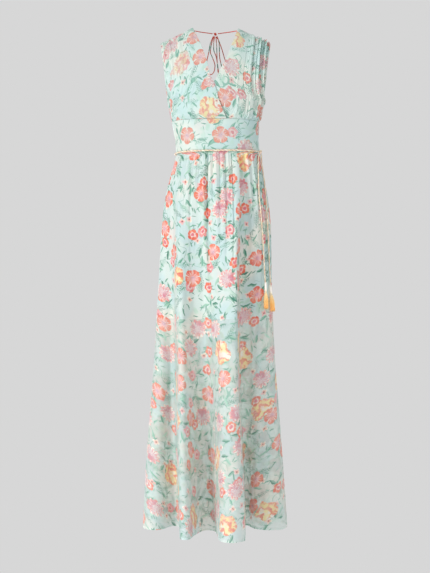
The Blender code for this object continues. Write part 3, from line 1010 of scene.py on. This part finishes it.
def cord_finish():
    """A cord of three plies, cream, pale yellow and peach, each with fine fibres along it, and painted shade
    in the grooves between them.
    """
    material, tree, shader = new_finish("twisted cord")
    round_it, along = read_uv(tree, "cloth")
    turn = (round_it - along / (PLIES * LAY_LENGTH)).maths("FRACT")
    # The three dark brown stops, one at each boundary between plies, are painted shade in the grooves
    stops = [
        (0.00, paint(253, 246, 228)), (0.30, paint(250, 238, 214)), (0.35, paint(150, 92, 74)),
        (0.40, paint(252, 226, 204)), (0.63, paint(250, 214, 188)), (0.68, paint(150, 88, 70)),
        (0.73, paint(254, 240, 206)), (0.95, paint(250, 232, 190)), (1.00, paint(156, 100, 78)),
    ]
    colour = node(tree, "ShaderNodeValToRGB", {"stops": stops}, [turn])
    join(tree, colour, shader, "Base Color")
    fibre = (along * FIBRES + round_it * 40.0).maths("SINE")
    bump = node(tree, "ShaderNodeBump", {}, {"Strength": 0.3, "Distance": BUMP_DEPTH, "Height": fibre})
    join(tree, bump, shader, "Normal")
    join(tree, 0.48 + noise(tree, round_it, 30.0) * 0.2, shader, "Roughness")
    settle(shader, Sheen_Weight=0.3)
    return material


def rouleau_finish(name, warmth):
    """The narrow tube of printed cloth: coral, pink and green stretches; warmth favours the coral."""
    material, tree, shader = new_finish(name)
    round_it, along = read_uv(tree, "cloth")
    place = node(tree, "ShaderNodeCombineXYZ", {}, [round_it * TIE_GIRTH, along, 0.0])
    patches = noise(tree, place, 42.0, 1.0) + warmth
    stops = [
        (0.00, paint(66, 132, 112)), (0.38, paint(92, 156, 134)), (0.41, paint(206, 228, 220)),
        (0.46, paint(244, 196, 186)), (0.49, paint(236, 112, 92)), (0.64, paint(214, 76, 66)),
        (1.00, paint(236, 116, 96)),
    ]
    join(tree, node(tree, "ShaderNodeValToRGB", {"stops": stops}, [patches]), shader, "Base Color")
    join(tree, crepe(tree, place, 0.4), shader, "Normal")
    join(tree, 0.6 + noise(tree, place, 200.0) * 0.2, shader, "Roughness")
    return material


twist = cord_finish()
rouleau = rouleau_finish("rouleau of printed chiffon", 0.0)
coral_rouleau = rouleau_finish("coral rouleau of printed chiffon", 0.32)


# %% Tassel threads
TASSEL_LENGTH = 0.060
THREAD_PAINTED_GLOW = 0.16


def thread_finish():
    """Tassel threads that run from cream to amber, with a faint painted glow that lightens their shaded
    depths.
    """
    material, tree, shader = new_finish("tassel threads")
    strand, down = read_uv(tree, "cloth")
    stops = [
        (0.00, paint(255, 250, 242)), (0.08, paint(255, 247, 228)), (0.24, paint(255, 230, 176)),
        (0.60, paint(255, 214, 136)), (1.00, paint(255, 194, 108)),
    ]
    colour = node(tree, "ShaderNodeValToRGB", {"stops": stops}, [down / TASSEL_LENGTH])
    tone = noise(tree, strand, 37.0, 1.0).soft(0.25, 0.75)
    join(tree, mix(tree, tone * 0.10, colour, paint(248, 176, 110)), shader, "Base Color")
    # Emission here is a painted glow: it lightens the threads where they shade one another
    join(tree, colour, shader, "Emission Color")
    join(tree, 0.35 + tone * 0.2, shader, "Roughness")
    settle(shader, Emission_Strength=THREAD_PAINTED_GLOW, Sheen_Weight=0.3)
    return material


threads = thread_finish()
print("finishes", len(bpy.data.materials))

# %% [markdown]
# ## Belt and nape bow
# The free ends of the belt and the bow hang down from their knots. Each tube follows the route of its solid
# closely, since that route was set to lie just clear of the folds. A drawn-up knot is one cord that passes
# round itself, so each is modelled as a tube on a trefoil line, which looks tied from every side.

# %% Laying a cord
TWIST_DEPTH = 0.16


def lay_tube(name, line, radius, material, ends=True):
    """The piece for one cord: three plies for the twisted cord, a plain tube for the rouleau."""
    sides, lobes, depth = (12, PLIES, TWIST_DEPTH) if material is twist else (8, 0, 0.0)
    mesh = tube(name, line, radius, sides, lobes, depth, LAY_LENGTH, ends)
    return add_piece(name, mesh, material)


def lay_free_cord(name, points, radius, material, count, far_end, with_pieces):
    line, length = route(points, count)
    piece = lay_tube(name, line, radius, material)
    tuple(line[0])
    2 * radius
    [tuple(point) for point in line]
    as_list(with_pieces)
    print(name, "%.3f m" % length)


def belt_route():
    """The way round the waist seam, from one side of the knot to the other."""
    points = []
    for step in range(361):
        turn = KNOT_TURN + KNOT_SPAN + step / 360 * (360 - 2 * KNOT_SPAN)
        turn -= 360 if turn > 270 else 0
        level = waist_level(form_point(turn, WAIST)[0])
        away = WALL / 2 + SEAT + BELT_RADIUS
        points.append(form_point(turn, level) + form_outward(turn, level) * away)
    return points


def trefoil(centre, radii, tilt):
    angle = np.linspace(0, math.tau, 97)
    knot = np.stack(
        [
            np.sin(angle) + 2 * np.sin(2 * angle),
            np.cos(angle) - 2 * np.cos(2 * angle),
            -1.25 * np.sin(3 * angle),
        ],
        axis=-1,
    )
    turned = knot @ np.array(Matrix.Rotation(tilt, 3, "Z") @ Matrix.Rotation(1.2, 3, "X")).T
    return turned / 3 * np.array(radii) + np.array(centre)


# %% Belt, knots and nape ties
BELT_SWELL = 0.0004
BELT_KNOT_REACH = (0.0040, 0.0040, 0.0040)
BELT_KNOT_CORD = 0.00165
BOW_KNOT = (-0.0008, 0.0660, -0.0020)
BOW_KNOT_REACH = (0.0046, 0.0032, 0.0038)
knot_level = waist_level(form_point(KNOT_TURN, WAIST)[0])
knot_out = form_outward(KNOT_TURN, knot_level)
knot_centre = form_point(KNOT_TURN, knot_level) + knot_out * (WALL / 2 + SEAT + KNOT_RADIUS)
belt_line, belt_length = route(belt_route(), 700)
for name, line, radius, material, ends in (
    ("belt", belt_line, BELT_RADIUS + BELT_SWELL, twist, True),
    ("belt_knot", trefoil(knot_centre, BELT_KNOT_REACH, 0.4), BELT_KNOT_CORD, twist, False),
    ("bow_knot", trefoil(BOW_KNOT, BOW_KNOT_REACH, 0.9), TIE_RADIUS, coral_rouleau, False),
    ("tie_left", route(TIE_LEFT, 60)[0], TIE_RADIUS, coral_rouleau, True),
    ("tie_right", route(TIE_RIGHT, 60)[0], TIE_RADIUS, coral_rouleau, True),
):
    lay_tube(name, line, radius, material, ends)
print("belt round the waist %.3f m" % belt_length)

# %% [markdown]
# ### Tassels
# A tassel is a hank of threads folded over the cord and bound below the fold. The head is a turned bead with
# a binding round its neck, and the skirt is some ninety separate threads, each thin tube hanging its own way.

# %% Tassels
HEAD_START = -0.0190
HEAD_END = 0.0075
HEAD_RADIUS = 0.0031
BINDING_START = 0.0070
BINDING_STEP = 0.0007
BINDING_RADIUS = 0.0022
BINDING_THREAD = 0.00045
THREADS = 92
THREAD_START = 0.0066
THREAD_SHORT = 0.0080
THREAD_RADIUS = 0.00042
GOLDEN_ANGLE = 2.39996


def tassel_parts(top, axis, spread, rng):
    """The head, its binding and the hanging threads, as tubes."""
    side, other = (both[0] for both in frames_along(np.array([top, top + axis])))
    head_line = top + axis * np.linspace(HEAD_START, HEAD_END, 40)[:, None]
    yield tube("head", head_line, HEAD_RADIUS, 12, 8, 0.06, 0.05)
    for ring in range(3):
        angle = np.linspace(0, math.tau, 25)
        round_it = side * np.cos(angle)[:, None] + other * np.sin(angle)[:, None]
        loop = top + axis * (BINDING_START + BINDING_STEP * ring) + round_it * BINDING_RADIUS
        yield tube("binding", loop, BINDING_THREAD, 5, ends=False)
    for number in range(THREADS):
        angle = number * GOLDEN_ANGLE
        share = math.sqrt((number + 0.5) / THREADS)
        down = np.linspace(0, 1, 9)
        wide = share * (BINDING_RADIUS + (spread - BINDING_RADIUS) * ease(down * 1.7 + 0.12))
        wave = rng.normal(0, 0.00035, 2) * np.sin(down * rng.uniform(2, 5))[:, None]
        length = TASSEL_LENGTH - THREAD_SHORT - rng.uniform(0, 0.0022)
        line = top + axis * (THREAD_START + down[:, None] * length)
        line = line + side * (np.cos(angle) * wide + wave[:, 0])[:, None]
        line = line + other * (np.sin(angle) * wide + wave[:, 1])[:, None]
        yield tube("thread", line, THREAD_RADIUS, 4)


def tassel(name, cord_end, tilt, spread, seed):
    top = np.array(cord_end) - np.array((0, 0, SEAM))
    axis = np.array((*tilt, -TASSEL_LENGTH))
    axis = axis / np.linalg.norm(axis)
    shape = bmesh.new()
    for part in tassel_parts(top, axis, spread, np.random.default_rng(seed)):
        shape.from_mesh(part)
        bpy.data.meshes.remove(part)
    mesh = bpy.data.meshes.new(name)
    shape.to_mesh(mesh)
    shape.free()
    points = points_in(mesh)
    strand = np.round(points[:, 0] * 900) / 3
    write_uv(mesh, "cloth", np.stack([strand, (points - top) @ axis], axis=-1))
    mesh.shade_smooth()
    print(name, len(mesh.polygons), "faces")
    return add_piece(name, mesh, threads)


tassel_front = tassel("tassel_front", BELT_END_FRONT[-1], (0.0018, -0.0014), 0.0062, 5)
tassel_back = tassel("tassel_back", BELT_END_BACK[-1], (0.0058, -0.0026), 0.0066, 6)

# %% Free ends and loops
FREE_CORDS = (
    # name, route, radius, finish, points, far end, what hangs from it
    ("belt_end_front", BELT_END_FRONT, BELT_RADIUS, twist, 380, "fitting", [tassel_front]),
    ("belt_end_back", BELT_END_BACK, BELT_RADIUS, twist, 380, "fitting", [tassel_back]),
    ("bow_loop_right", BOW_LOOP_RIGHT, TIE_RADIUS, rouleau, 120, "object", []),
    ("bow_loop_left", BOW_LOOP_LEFT, TIE_RADIUS, rouleau, 110, "object", []),
    ("bow_end_right", BOW_END_RIGHT, TIE_RADIUS, rouleau, 70, "bare", []),
    ("bow_end_left", BOW_END_LEFT, TIE_RADIUS, rouleau, 70, "bare", []),
)
for cord in FREE_CORDS:
    lay_free_cord(*cord)

# %% [markdown]
# ## Skirt
# The skirt is one sheer layer, gathered into the waist seam and left to fall. Its large folds follow the
# frame. The gathers that start at the seam are finer than the frame holds, so they are added here one by one:
# each row of the table is a ridge (or a trough, where its height is negative) that runs down from the seam,
# drifts a little and dies out at its own length. Near the hanging ends of the belt the cloth keeps to its
# solid, so that the cords lie free, and only narrow valleys run behind them.

# %% Gathers of the front
FRONT_GATHERS = (
    # turn at the waist, drift, reach as a share of the fall, half width in degrees, height in millimetres
    (-84, 1, 0.16, 2.2, 1.2),
    (-77, 3, 0.34, 3.4, 1.6),
    (-69, 5, 0.22, 2.6, -1.1),
    (-60, 2, 0.50, 4.2, 2.0),
    (-51, 4, 0.28, 2.8, -1.3),
    (-44, 3, 0.62, 3.6, 2.1),
    (-37, 1, 0.30, 2.3, -1.6),
    (-33, 4, 0.20, 1.9, 1.8),
    (-28, 3, 0.42, 2.2, -1.9),
    (-24, 2, 0.16, 1.8, 2.0),
    (-19, 3, 0.26, 2.0, -1.8),
    (-15, 4, 0.12, 1.6, 1.8),
    (-12, 4, 0.52, 2.4, 3.8),
    (-8.6, 4, 0.60, 1.4, -5.4),
    (-5.5, 2, 0.15, 1.5, 1.9),
    (-2.6, 1, 0.24, 1.3, -2.2),
    (0.4, 2, 0.36, 1.6, 2.3),
    (3.4, 1, 0.30, 1.2, -3.6),
    (6.4, 1, 0.20, 1.5, 2.0),
    (9.6, 0, 0.36, 1.3, -4.0),
    (13.0, -1, 0.17, 1.6, 2.2),
    (17.2, -1, 0.46, 1.4, -3.8),
    (31.5, -1, 0.14, 2.0, 1.8),
    (36.0, -2, 0.33, 2.2, -2.1),
    (40.5, -3, 0.52, 2.8, 2.4),
    (46.0, -1, 0.19, 2.2, -2.0),
    (50.5, -3, 0.27, 2.4, 2.2),
    (54.5, -5, 0.24, 1.8, -2.9),
    (60.0, -2, 0.13, 2.0, 1.0),
    (86.0, 0, 0.20, 2.0, -1.0),
)
SIDE_VALLEYS = (
    # the same columns
    (59.0, 4, 0.58, 1.5, -4.6),
    (66.0, 5, 0.66, 1.7, -6.4),
    (73.0, 4, 0.60, 1.8, -7.0),
    (80.0, 3, 0.66, 1.8, -6.2),
)
print("gathers of the front", len(FRONT_GATHERS) + len(SIDE_VALLEYS))

# %% Gathers of the back, and the deep fold
BACK_GATHERS = (
    # the same columns
    (95, 1, 0.30, 2.6, 1.4),
    (101, 2, 0.22, 2.2, -1.6),
    (107, 3, 0.48, 3.2, 2.2),
    (114, 1, 0.26, 2.4, -1.9),
    (120, 2, 0.17, 2.0, 2.0),
    (126, 3, 0.40, 2.6, -2.2),
    (133, 1, 0.60, 3.4, 2.8),
    (139, 2, 0.20, 2.0, -2.1),
    (144, 1, 0.30, 2.2, 2.3),
    (149, 1, 0.15, 1.8, -1.9),
    (154, 2, 0.52, 2.6, 2.7),
    (160, 1, 0.24, 2.0, -2.3),
    (165, 1, 0.34, 2.1, 2.2),
    (170, 1, 0.13, 1.7, -1.8),
    (175, 0, 0.64, 3.2, 3.0),
    (181, -1, 0.28, 2.0, -2.4),
    (186, -1, 0.18, 1.8, 2.0),
    (191, -2, 0.42, 2.4, -2.2),
    (197, -1, 0.26, 2.1, 2.3),
    (202, -2, 0.15, 1.7, -1.8),
    (208, -2, 0.56, 3.1, 2.6),
    (214, -1, 0.21, 2.1, -2.0),
    (220, -2, 0.33, 2.4, 2.2),
    (226, -2, 0.18, 2.0, -1.8),
    (232, -3, 0.46, 3.0, 2.4),
    (240, -2, 0.24, 2.5, -1.7),
    (247, -3, 0.30, 2.7, 1.8),
    (256, -2, 0.40, 3.1, -1.4),
    (264, -1, 0.18, 2.4, 1.2),
)
PLEAT = (
    # fall, turn of the edge, height of the edge
    (0.00, 26.5, 0.0004),
    (0.02, 25.6, 0.0058),
    (0.12, 23.4, 0.0090),
    (0.30, 21.0, 0.0105),
    (0.55, 21.0, 0.0090),
    (0.80, 22.2, 0.0060),
    (1.00, 23.2, 0.0030),
)
print("rows of the back and of the deep fold", len(BACK_GATHERS), len(PLEAT))


# %% Forms that lift the cloth off its solid
GATHER_HEIGHT = 0.0013
GATHER_OPENING = 0.010
CREST_LEAN = 0.010
RIPPLE_HEIGHT = 0.001
CORDS_TURN = 72
CORDS_REACH = 20
CORDS_FALL = 0.36


def ridge(away, half_width):
    """1 on a line, and 0 from its half width on."""
    return ease(1 - np.abs(away) / half_width)


def gathers(table, turn, fall):
    total = 0 * turn
    for start, drift, reach, half_width, height in table:
        centre = start + drift * ease(fall / (reach * 1.4))
        grown = half_width * (0.8 + 1.1 * fall / reach)
        strength = ease(fall / GATHER_OPENING) * (1 - ease((fall - 0.25 * reach) / (0.75 * reach)))
        total = total + GATHER_HEIGHT * height * strength * ridge(turn - centre, grown)
    return total


def pleat(turn, fall):
    """The one deep fold of the front: a broad crest that breaks off along a sharp edge."""
    edge = smooth(PLEAT, fall, 1)
    height = smooth(PLEAT, fall, 2)
    crest = ease((turn - edge + 12.5) / 11.0)
    drop = ease((turn - edge) / 1.7)
    behind = drop * (1 - ease((turn - edge - 2.0) / 5.0))
    return height * (crest * (1 - drop) - 0.35 * behind)


def lean_of_crest(turn, fall):
    """The crest beside the deep fold leans towards the middle between the hip and the knee."""
    return CREST_LEAN * ridge(turn - 26, 16) * ease(fall / 0.3) * (1 - ease((fall - 0.60) / 0.36))


def soft_wander(turn, fall, seed):
    """Slow uneven ripples, so that no stretch between two folds is perfectly smooth."""
    rng = np.random.default_rng(seed)
    total = 0 * turn
    for wave in range(9):
        width, lean = rng.uniform(9, 30), rng.uniform(-14, 14)
        phase, strength = rng.uniform(0, math.tau), rng.uniform(0.2, 0.5)
        total = total + strength * np.sin(math.tau * (turn + lean * fall) / width + phase + 2.2 * fall)
    return RIPPLE_HEIGHT * total * ease(fall / 0.12) * (0.5 + 0.8 * fall)


def even_widths(start, end, columns):
    """Cut widths for the columns, close together where the waist is long as well as where the hem is."""
    fine = np.linspace(start, end, 4000)
    at_waist = np.linalg.norm(np.diff(form_point(smooth(CUT, fine, 1), WAIST), axis=0), axis=1)
    measure = np.concatenate([[0], np.cumsum(at_waist * 1.6 + np.diff(fine) * 0.55)])
    return np.interp(np.linspace(0, measure[-1], columns + 1), measure, fine)


def quiet_near_cords(turn, fall):
    """1 everywhere but under the hanging ends of the belt."""
    return 1 - ridge(turn - CORDS_TURN, CORDS_REACH) * ease((CORDS_FALL - fall) / 0.05)


# %% Placing a skirt panel
ROW_CLOSENESS = 1.12
TUCK = 0.0052
TUCK_FALL = 0.006
CUT_STEP = 0.004
WANDER_SEED = 11
SEAM_SHARE = 0.02
SEAM_LIFT = 0.0006


def skirt_place(front, columns, table, rows_to=1.0, inset=0.0, detail=1.0):
    """Gives place(across, up) for a panel: how far down it goes, how far inside, how strong its forms are."""
    start, end = (0, HALF_CUT) if front else (HALF_CUT, FULL_CUT)
    widths = even_widths(start, end, columns)

    def place(across, up):
        width = widths[np.rint(across * columns).astype(int)]
        fall = (1 - up) ** ROW_CLOSENESS * rows_to
        turn = smooth(CUT, width, 1)
        ahead = skirt_point((width + CUT_STEP) % FULL_CUT, fall)
        around = ahead - skirt_point((width - CUT_STEP) % FULL_CUT, fall)
        outward = np.stack([around[..., 1], -around[..., 0], 0 * fall], axis=-1)
        outward /= np.linalg.norm(outward, axis=-1)[..., None]
        lift = gathers(table, turn, fall) + soft_wander(turn, fall, WANDER_SEED)
        if front:
            lift = lift + pleat(turn, fall)
        lift = lift * quiet_near_cords(turn, fall)
        lift = (lift + gathers(SIDE_VALLEYS, turn, fall)) * detail
        seam = ease(np.minimum(across, 1 - across) / SEAM_SHARE)
        at_seam = SEAM_LIFT * ease((fall - 0.01) / 0.05)
        lift = lift * seam + at_seam * (1 - seam)
        lift = lift - inset * (0.36 + 0.64 * ease(fall / 0.08)) - TUCK * ease(1 - fall / TUCK_FALL)
        point = skirt_point(width, fall) + outward * lift[..., None]
        if front:
            point[..., 0] -= lean_of_crest(turn, fall)
        point[..., 1] += -SEAM / 2 if front else SEAM / 2
        return point

    return place


def edge_uv(mesh, columns, rows):
    """Two more UV maps: distances from the nearer side seam and the hem, and the share of the fall."""
    points = points_in(mesh).reshape(rows + 1, columns + 1, 3)
    across = np.broadcast_to(np.linspace(0, 1, columns + 1), (rows + 1, columns + 1))
    up = np.broadcast_to(np.linspace(0, 1, rows + 1)[:, None], across.shape)
    step_up = np.linalg.norm(np.diff(points, axis=0), axis=2)
    from_hem = np.concatenate([0 * step_up[:1], np.cumsum(step_up, axis=0)], axis=0)
    half = np.linalg.norm(np.diff(points, axis=1), axis=2).sum(axis=1)[:, None]
    from_side = np.minimum(across, 1 - across) * half
    write_uv(mesh, "edge", np.stack([from_side, from_hem], axis=-1))
    write_uv(mesh, "fall", np.stack([(1 - up) ** ROW_CLOSENESS, across], axis=-1))
    mesh.uv_layers["cloth"].active_render = True


# %% Adding a panel
CLOTH_WALL = 0.0006


def shifted(offset):
    """The cloth's UV moved over the print, so that each panel is cut from another part of the cloth."""
    return lambda points, across, up: cloth_uv(points, across, up) + np.array(offset)


def dress_panel(name, mesh, material, flat, area):
    """Adds a panel. A single layer stays a thin shell; the doubled cloth gets the wall of its two layers."""
    piece = add_piece(name, mesh, material)
    made_area = sum(face.area for face in mesh.polygons)
    print("   ", mesh.name, "cloth area %.3f m2" % made_area, len(mesh.polygons), "faces")
    if material is printed:
        thickness = piece.modifiers.new("wall", "SOLIDIFY")
        thickness.thickness = CLOTH_WALL
        thickness.offset = 0
        thickness.use_even_offset = False


# %% Skirt panels
SKIRT_CUT_FRONT = (1.15, 1.06)
SKIRT_CUT_BACK = (0.98, 1.06)
for name, front, columns, rows, table, flat, area, shift, cloth in (
    ("skirt_front", True, 440, 205, FRONT_GATHERS, SKIRT_CUT_FRONT, 0.77, (0.352, 0.117), sheer),
    ("skirt_back", False, 360, 150, BACK_GATHERS, SKIRT_CUT_BACK, 0.68, (2.61, 0.73), sheer_back),
):
    mesh = lay_grid(name, columns, rows, skirt_place(front, columns, table), shifted(shift))
    edge_uv(mesh, columns, rows)
    dress_panel(name, mesh, cloth, flat, area)

# %% [markdown]
# ## Lining
# The lining is plain and opaque, and ends at mid-thigh. It hangs a few millimetres inside the chiffon and
# repeats its larger folds more weakly, which is why the print looks brighter above its hem than below.

# %% Lining panels
LINING_CUT = (0.62, 0.48)
LINING_AREA = 0.215
LINING_DETAIL = 0.55
for name, front, columns, table in (
    ("lining_front", True, 200, FRONT_GATHERS),
    ("lining_back", False, 180, BACK_GATHERS),
):
    place = skirt_place(front, columns, table, LINING_FALL, LINING_INSET, LINING_DETAIL)
    mesh = lay_grid(name, columns, 70, place)
    dress_panel(name, mesh, lining_cloth, LINING_CUT, LINING_AREA)

# %% [markdown]
# ## Midriff band and bodice
# The band is a fitted, smooth strip. The wrap fronts are gathered into the shoulder seams and into the band:
# long soft ridges cross each panel, fine gathers crowd both seams, and the cloth blouses a little over the
# seam below the bust. The opaque panels get the thickness of their two layers from a Solidify wall.

# %% Midriff
def midriff_place(front):
    def place(across, up):
        turn = (across - 0.5) * 180 if front else 180 + (across - 0.5) * 180
        low = waist_level(form_point(turn, WAIST)[..., 0]) + SEAM / 2
        high = UNDERBUST - SEAM / 2
        point = form_point(turn, low + up * (high - low))
        angle = np.radians(turn)
        outward = points_of(np.sin(angle), -np.cos(angle), 0 * up)
        strain = np.sin(up * 11 + across * 5.3) * 0.0004
        strain = strain + np.sin(up * 23 - across * 17) * 0.00025
        drawn = np.sin(across * 63 + 3 * np.sin(across * 17)) * 0.0004 * (1 - ease(up / 0.16))
        lift = (strain + drawn) * ease(up / 0.06) * ease((1 - up) / 0.06)
        lift = lift - TUCK * ease(1 - up / 0.06)
        point = point + outward * lift[..., None]
        point[..., 1] += -SEAM / 2 if front else SEAM / 2
        return point

    return place


MIDRIFF_CUT = (0.36, 0.10)
MIDRIFF_AREA = 0.033
for name, front, shift in (
    ("midriff_front", True, (1.262, 0.431)),
    ("midriff_back", False, (1.77, 1.31)),
):
    mesh = lay_grid(name, 150, 50, midriff_place(front), shifted(shift))
    dress_panel(name, mesh, printed, MIDRIFF_CUT, MIDRIFF_AREA)

# %% Bodice tables
FOLDS_RIGHT = (
    # across at the seam below, across at the shoulder, half width, height
    (0.62, 0.30, 0.070, 0.0030),
    (0.78, 0.62, 0.060, 0.0040),
    (0.92, 0.86, 0.045, 0.0030),
)
FOLDS_LEFT = (
    # across at the seam below, across at the shoulder, half width, height
    (0.62, 0.34, 0.060, 0.0035),
    (0.76, 0.56, 0.050, 0.0085),
    (0.87, 0.76, 0.040, 0.0095),
    (0.955, 0.92, 0.030, 0.0050),
)
CREASES_RIGHT = (
    # across low, across high, half width, height, rise where it starts, rise where it ends
    (0.36, 0.10, 0.022, 0.0012, 0.00, 0.55),
    (0.47, 0.24, 0.020, -0.0013, 0.02, 0.70),
    (0.55, 0.36, 0.018, 0.0014, 0.00, 0.42),
    (0.68, 0.46, 0.020, -0.0016, 0.00, 0.85),
    (0.73, 0.54, 0.016, 0.0013, 0.10, 0.60),
    (0.85, 0.75, 0.018, -0.0015, 0.00, 0.90),
    (0.88, 0.80, 0.016, 0.0012, 0.30, 1.00),
    (0.30, 0.20, 0.025, -0.0011, 0.45, 1.00),
    (0.50, 0.42, 0.020, 0.0012, 0.62, 1.00),
)
CREASES_LEFT = (
    # across low, across high, half width, height, rise where it starts, rise where it ends
    (0.40, 0.10, 0.022, 0.0012, 0.00, 0.50),
    (0.52, 0.22, 0.020, -0.0016, 0.00, 0.80),
    (0.58, 0.28, 0.016, 0.0016, 0.00, 0.95),
    (0.67, 0.40, 0.015, -0.0050, 0.00, 1.00),
    (0.715, 0.48, 0.014, 0.0036, 0.00, 1.00),
    (0.805, 0.63, 0.015, -0.0075, 0.00, 1.00),
    (0.845, 0.70, 0.013, 0.0044, 0.05, 1.00),
    (0.900, 0.82, 0.015, -0.0085, 0.12, 1.00),
    (0.795, 1.02, 0.028, 0.0060, 0.00, 0.34),
    (0.868, 1.04, 0.028, -0.0110, 0.00, 0.34),
    (0.930, 0.88, 0.012, 0.0040, 0.00, 1.00),
    (0.958, 0.94, 0.018, -0.0120, 0.00, 0.90),
)
BACK_FOLDS = (
    # across at the seam below, lean towards the shoulder, height
    (0.25, 0.10, 0.0010),
    (0.46, 0.06, 0.0014),
    (0.66, -0.04, 0.0012),
    (0.84, -0.03, 0.0010),
)
print("creases of the fronts", len(CREASES_RIGHT) + len(CREASES_LEFT))


# %% Sections of the bodice
def bodice_sizes(up):
    rows = tuple((index / (len(BODICE) - 1), *row) for index, row in enumerate(BODICE))
    return [smooth(rows, up, column) for column in range(1, 6)]


def turn_of(x, form):
    share = np.clip(np.abs(x) / form, 0, 1)
    return np.sign(x) * np.arcsin(share ** (ROUNDNESS / 2))


def bodice_point(across, up, inner, side, front):
    rise, edge, form, front_depth, back_depth = bodice_sizes(up)
    low, high = turn_of(inner(rise), form), turn_of(side * edge, form)
    turn = low + across * (high - low)
    x = form * curve_power(np.sin(turn))
    depth = curve_power(np.cos(turn)) * (front_depth if front else back_depth)
    y = -depth - SEAM / 2 if front else depth + SEAM / 2
    shoulder = NECK_TOP - SHOULDER_SLOPE * np.maximum(np.abs(x) - NECK_HALF, 0)
    level = UNDERBUST + SEAM / 2 + rise * (shoulder - UNDERBUST - SEAM / 2)
    return points_of(x, y - SHOULDER_FORWARD * rise**3, level)


def outward_of(place, across, up, side, step=0.01):
    along = place(np.minimum(across + step, 1), up) - place(np.maximum(across - step, 0), up)
    rise = place(across, np.minimum(up + step, 1)) - place(across, np.maximum(up - step, 0))
    outward = np.cross(along, rise) * side
    return outward / np.maximum(np.linalg.norm(outward, axis=-1), 1e-9)[..., None]


# %% Folds of the bodice
GATHER_PITCH = 0.026
BLOUSE = 0.0036
BLOUSE_RISE = 0.035


def broad_folds(folds, across, up):
    total = 0 * up
    for low, high, half_width, height in folds:
        total = total + height * ridge(across - (low + (high - low) * up), half_width)
    return total * ease(up * 6) * ease((1 - up) * 5)


def creases(table, across, up):
    total = 0 * up
    for low, high, half_width, height, start, end in table:
        line = ridge(across - (low + (high - low) * up), half_width)
        opening = ease((up - start) / 0.12 + (start == 0)) * ease((end - up) / 0.30 + (end == 1))
        total = total + height * line * opening
    return total


def seam_gathers(across, up, seed, first, last, strength):
    """Short uneven gathers that crowd the shoulder seam and the seam below the bust."""
    rng = np.random.default_rng(seed)
    total = 0 * up
    for place in np.arange(first, last, GATHER_PITCH):
        at, height = place + rng.uniform(-0.008, 0.008), rng.uniform(0.5, 1.2) * strength
        length, width = rng.uniform(0.05, 0.17), rng.uniform(0.008, 0.013)
        for away, from_seam in ((across - at - 0.1 * up, up), (across - at, 1 - up)):
            fade = (1 - ease(from_seam / length)) * ease(from_seam / 0.012)
            total = total + height * ridge(away, width) * fade
    return total


def blouse(up):
    """The cloth bags out over the seam below the bust."""
    return BLOUSE * ease(up / BLOUSE_RISE) * (1 - ease((up - BLOUSE_RISE) / 0.14))


# %% Placing the fronts
SHOULDER_FADE = 0.06
FRONT_GATHERING = 0.0011


def front_place(over):
    edge_table = LAP_OVER if over else LAP_UNDER
    folds = FOLDS_RIGHT if over else FOLDS_LEFT
    fine = CREASES_RIGHT if over else CREASES_LEFT
    side = -1 if over else 1
    seed, first_gather = (3, 0.12) if over else (4, 0.30)

    def bare(across, up):
        return bodice_point(across, up, lambda rise: smooth(edge_table, rise, 1), side, True)

    def place(across, up):
        if over:
            across = 1 - across
        point = bare(across, up)
        at_seams = ease(up / 0.02) * ease((1 - up) / SHOULDER_FADE)
        lift = broad_folds(folds, across, up) + creases(fine, across, up) * at_seams
        lift = lift + seam_gathers(across, up, seed, first_gather, 0.98, FRONT_GATHERING)
        if over:
            lift = lift + LAP * ease((point[..., 0] + 0.095) / 0.030)
            lift = lift + blouse(up) * (0.1 + 0.9 * ease((1 - across) / 0.35))
        else:
            lift = lift + blouse(up) * ease((across - 0.30) / 0.12) * ease((1 - across) / 0.30)
        to_side = ease((1 - across) / SEAM_SHARE)
        lift = lift * (to_side + (1 - to_side) * 0.15)
        return point + outward_of(bare, across, up, side) * lift[..., None]

    return place


# %% Placing the backs
BACK_GATHERING = 0.0009


def back_place(side):
    def inner(rise):
        share = np.maximum(rise - BACK_OPENING_FOOT, 0) / (1 - BACK_OPENING_FOOT)
        return side * np.maximum(SEAM / 2 + WALL / 4, NECK_HALF * share**0.9)

    def bare(across, up):
        return bodice_point(across, up, inner, side, False)

    def place(across, up):
        if side > 0:
            across = 1 - across
        lift = seam_gathers(across, up, 8 + side, 0.08, 0.96, BACK_GATHERING)
        for at, lean, height in BACK_FOLDS:
            fade = ease(up * 5) * ease((1 - up) * 4)
            lift = lift + height * ridge(across - at - lean * up, 0.05) * fade
        lift = lift * ease((1 - across) / SEAM_SHARE) * ease(across / SEAM_SHARE)
        return bare(across, up) - outward_of(bare, across, up, side) * lift[..., None]

    return place


# %% Bodice panels
FRONT_CUT = (0.26, 0.30)
BACK_CUT = (0.17, 0.30)
for name, place, columns, rows, flat, area, shift in (
    ("front_right", front_place(True), 210, 170, FRONT_CUT, 0.047, (0.843, 0.413)),
    ("front_left", front_place(False), 260, 170, FRONT_CUT, 0.056, (1.317, 0.269)),
    ("back_right", back_place(-1), 110, 120, BACK_CUT, 0.039, (3.17, 0.61)),
    ("back_left", back_place(1), 110, 120, BACK_CUT, 0.039, (3.71, 0.12)),
):
    mesh = lay_grid(name, columns, rows, place, shifted(shift))
    dress_panel(name, mesh, printed, flat, area)
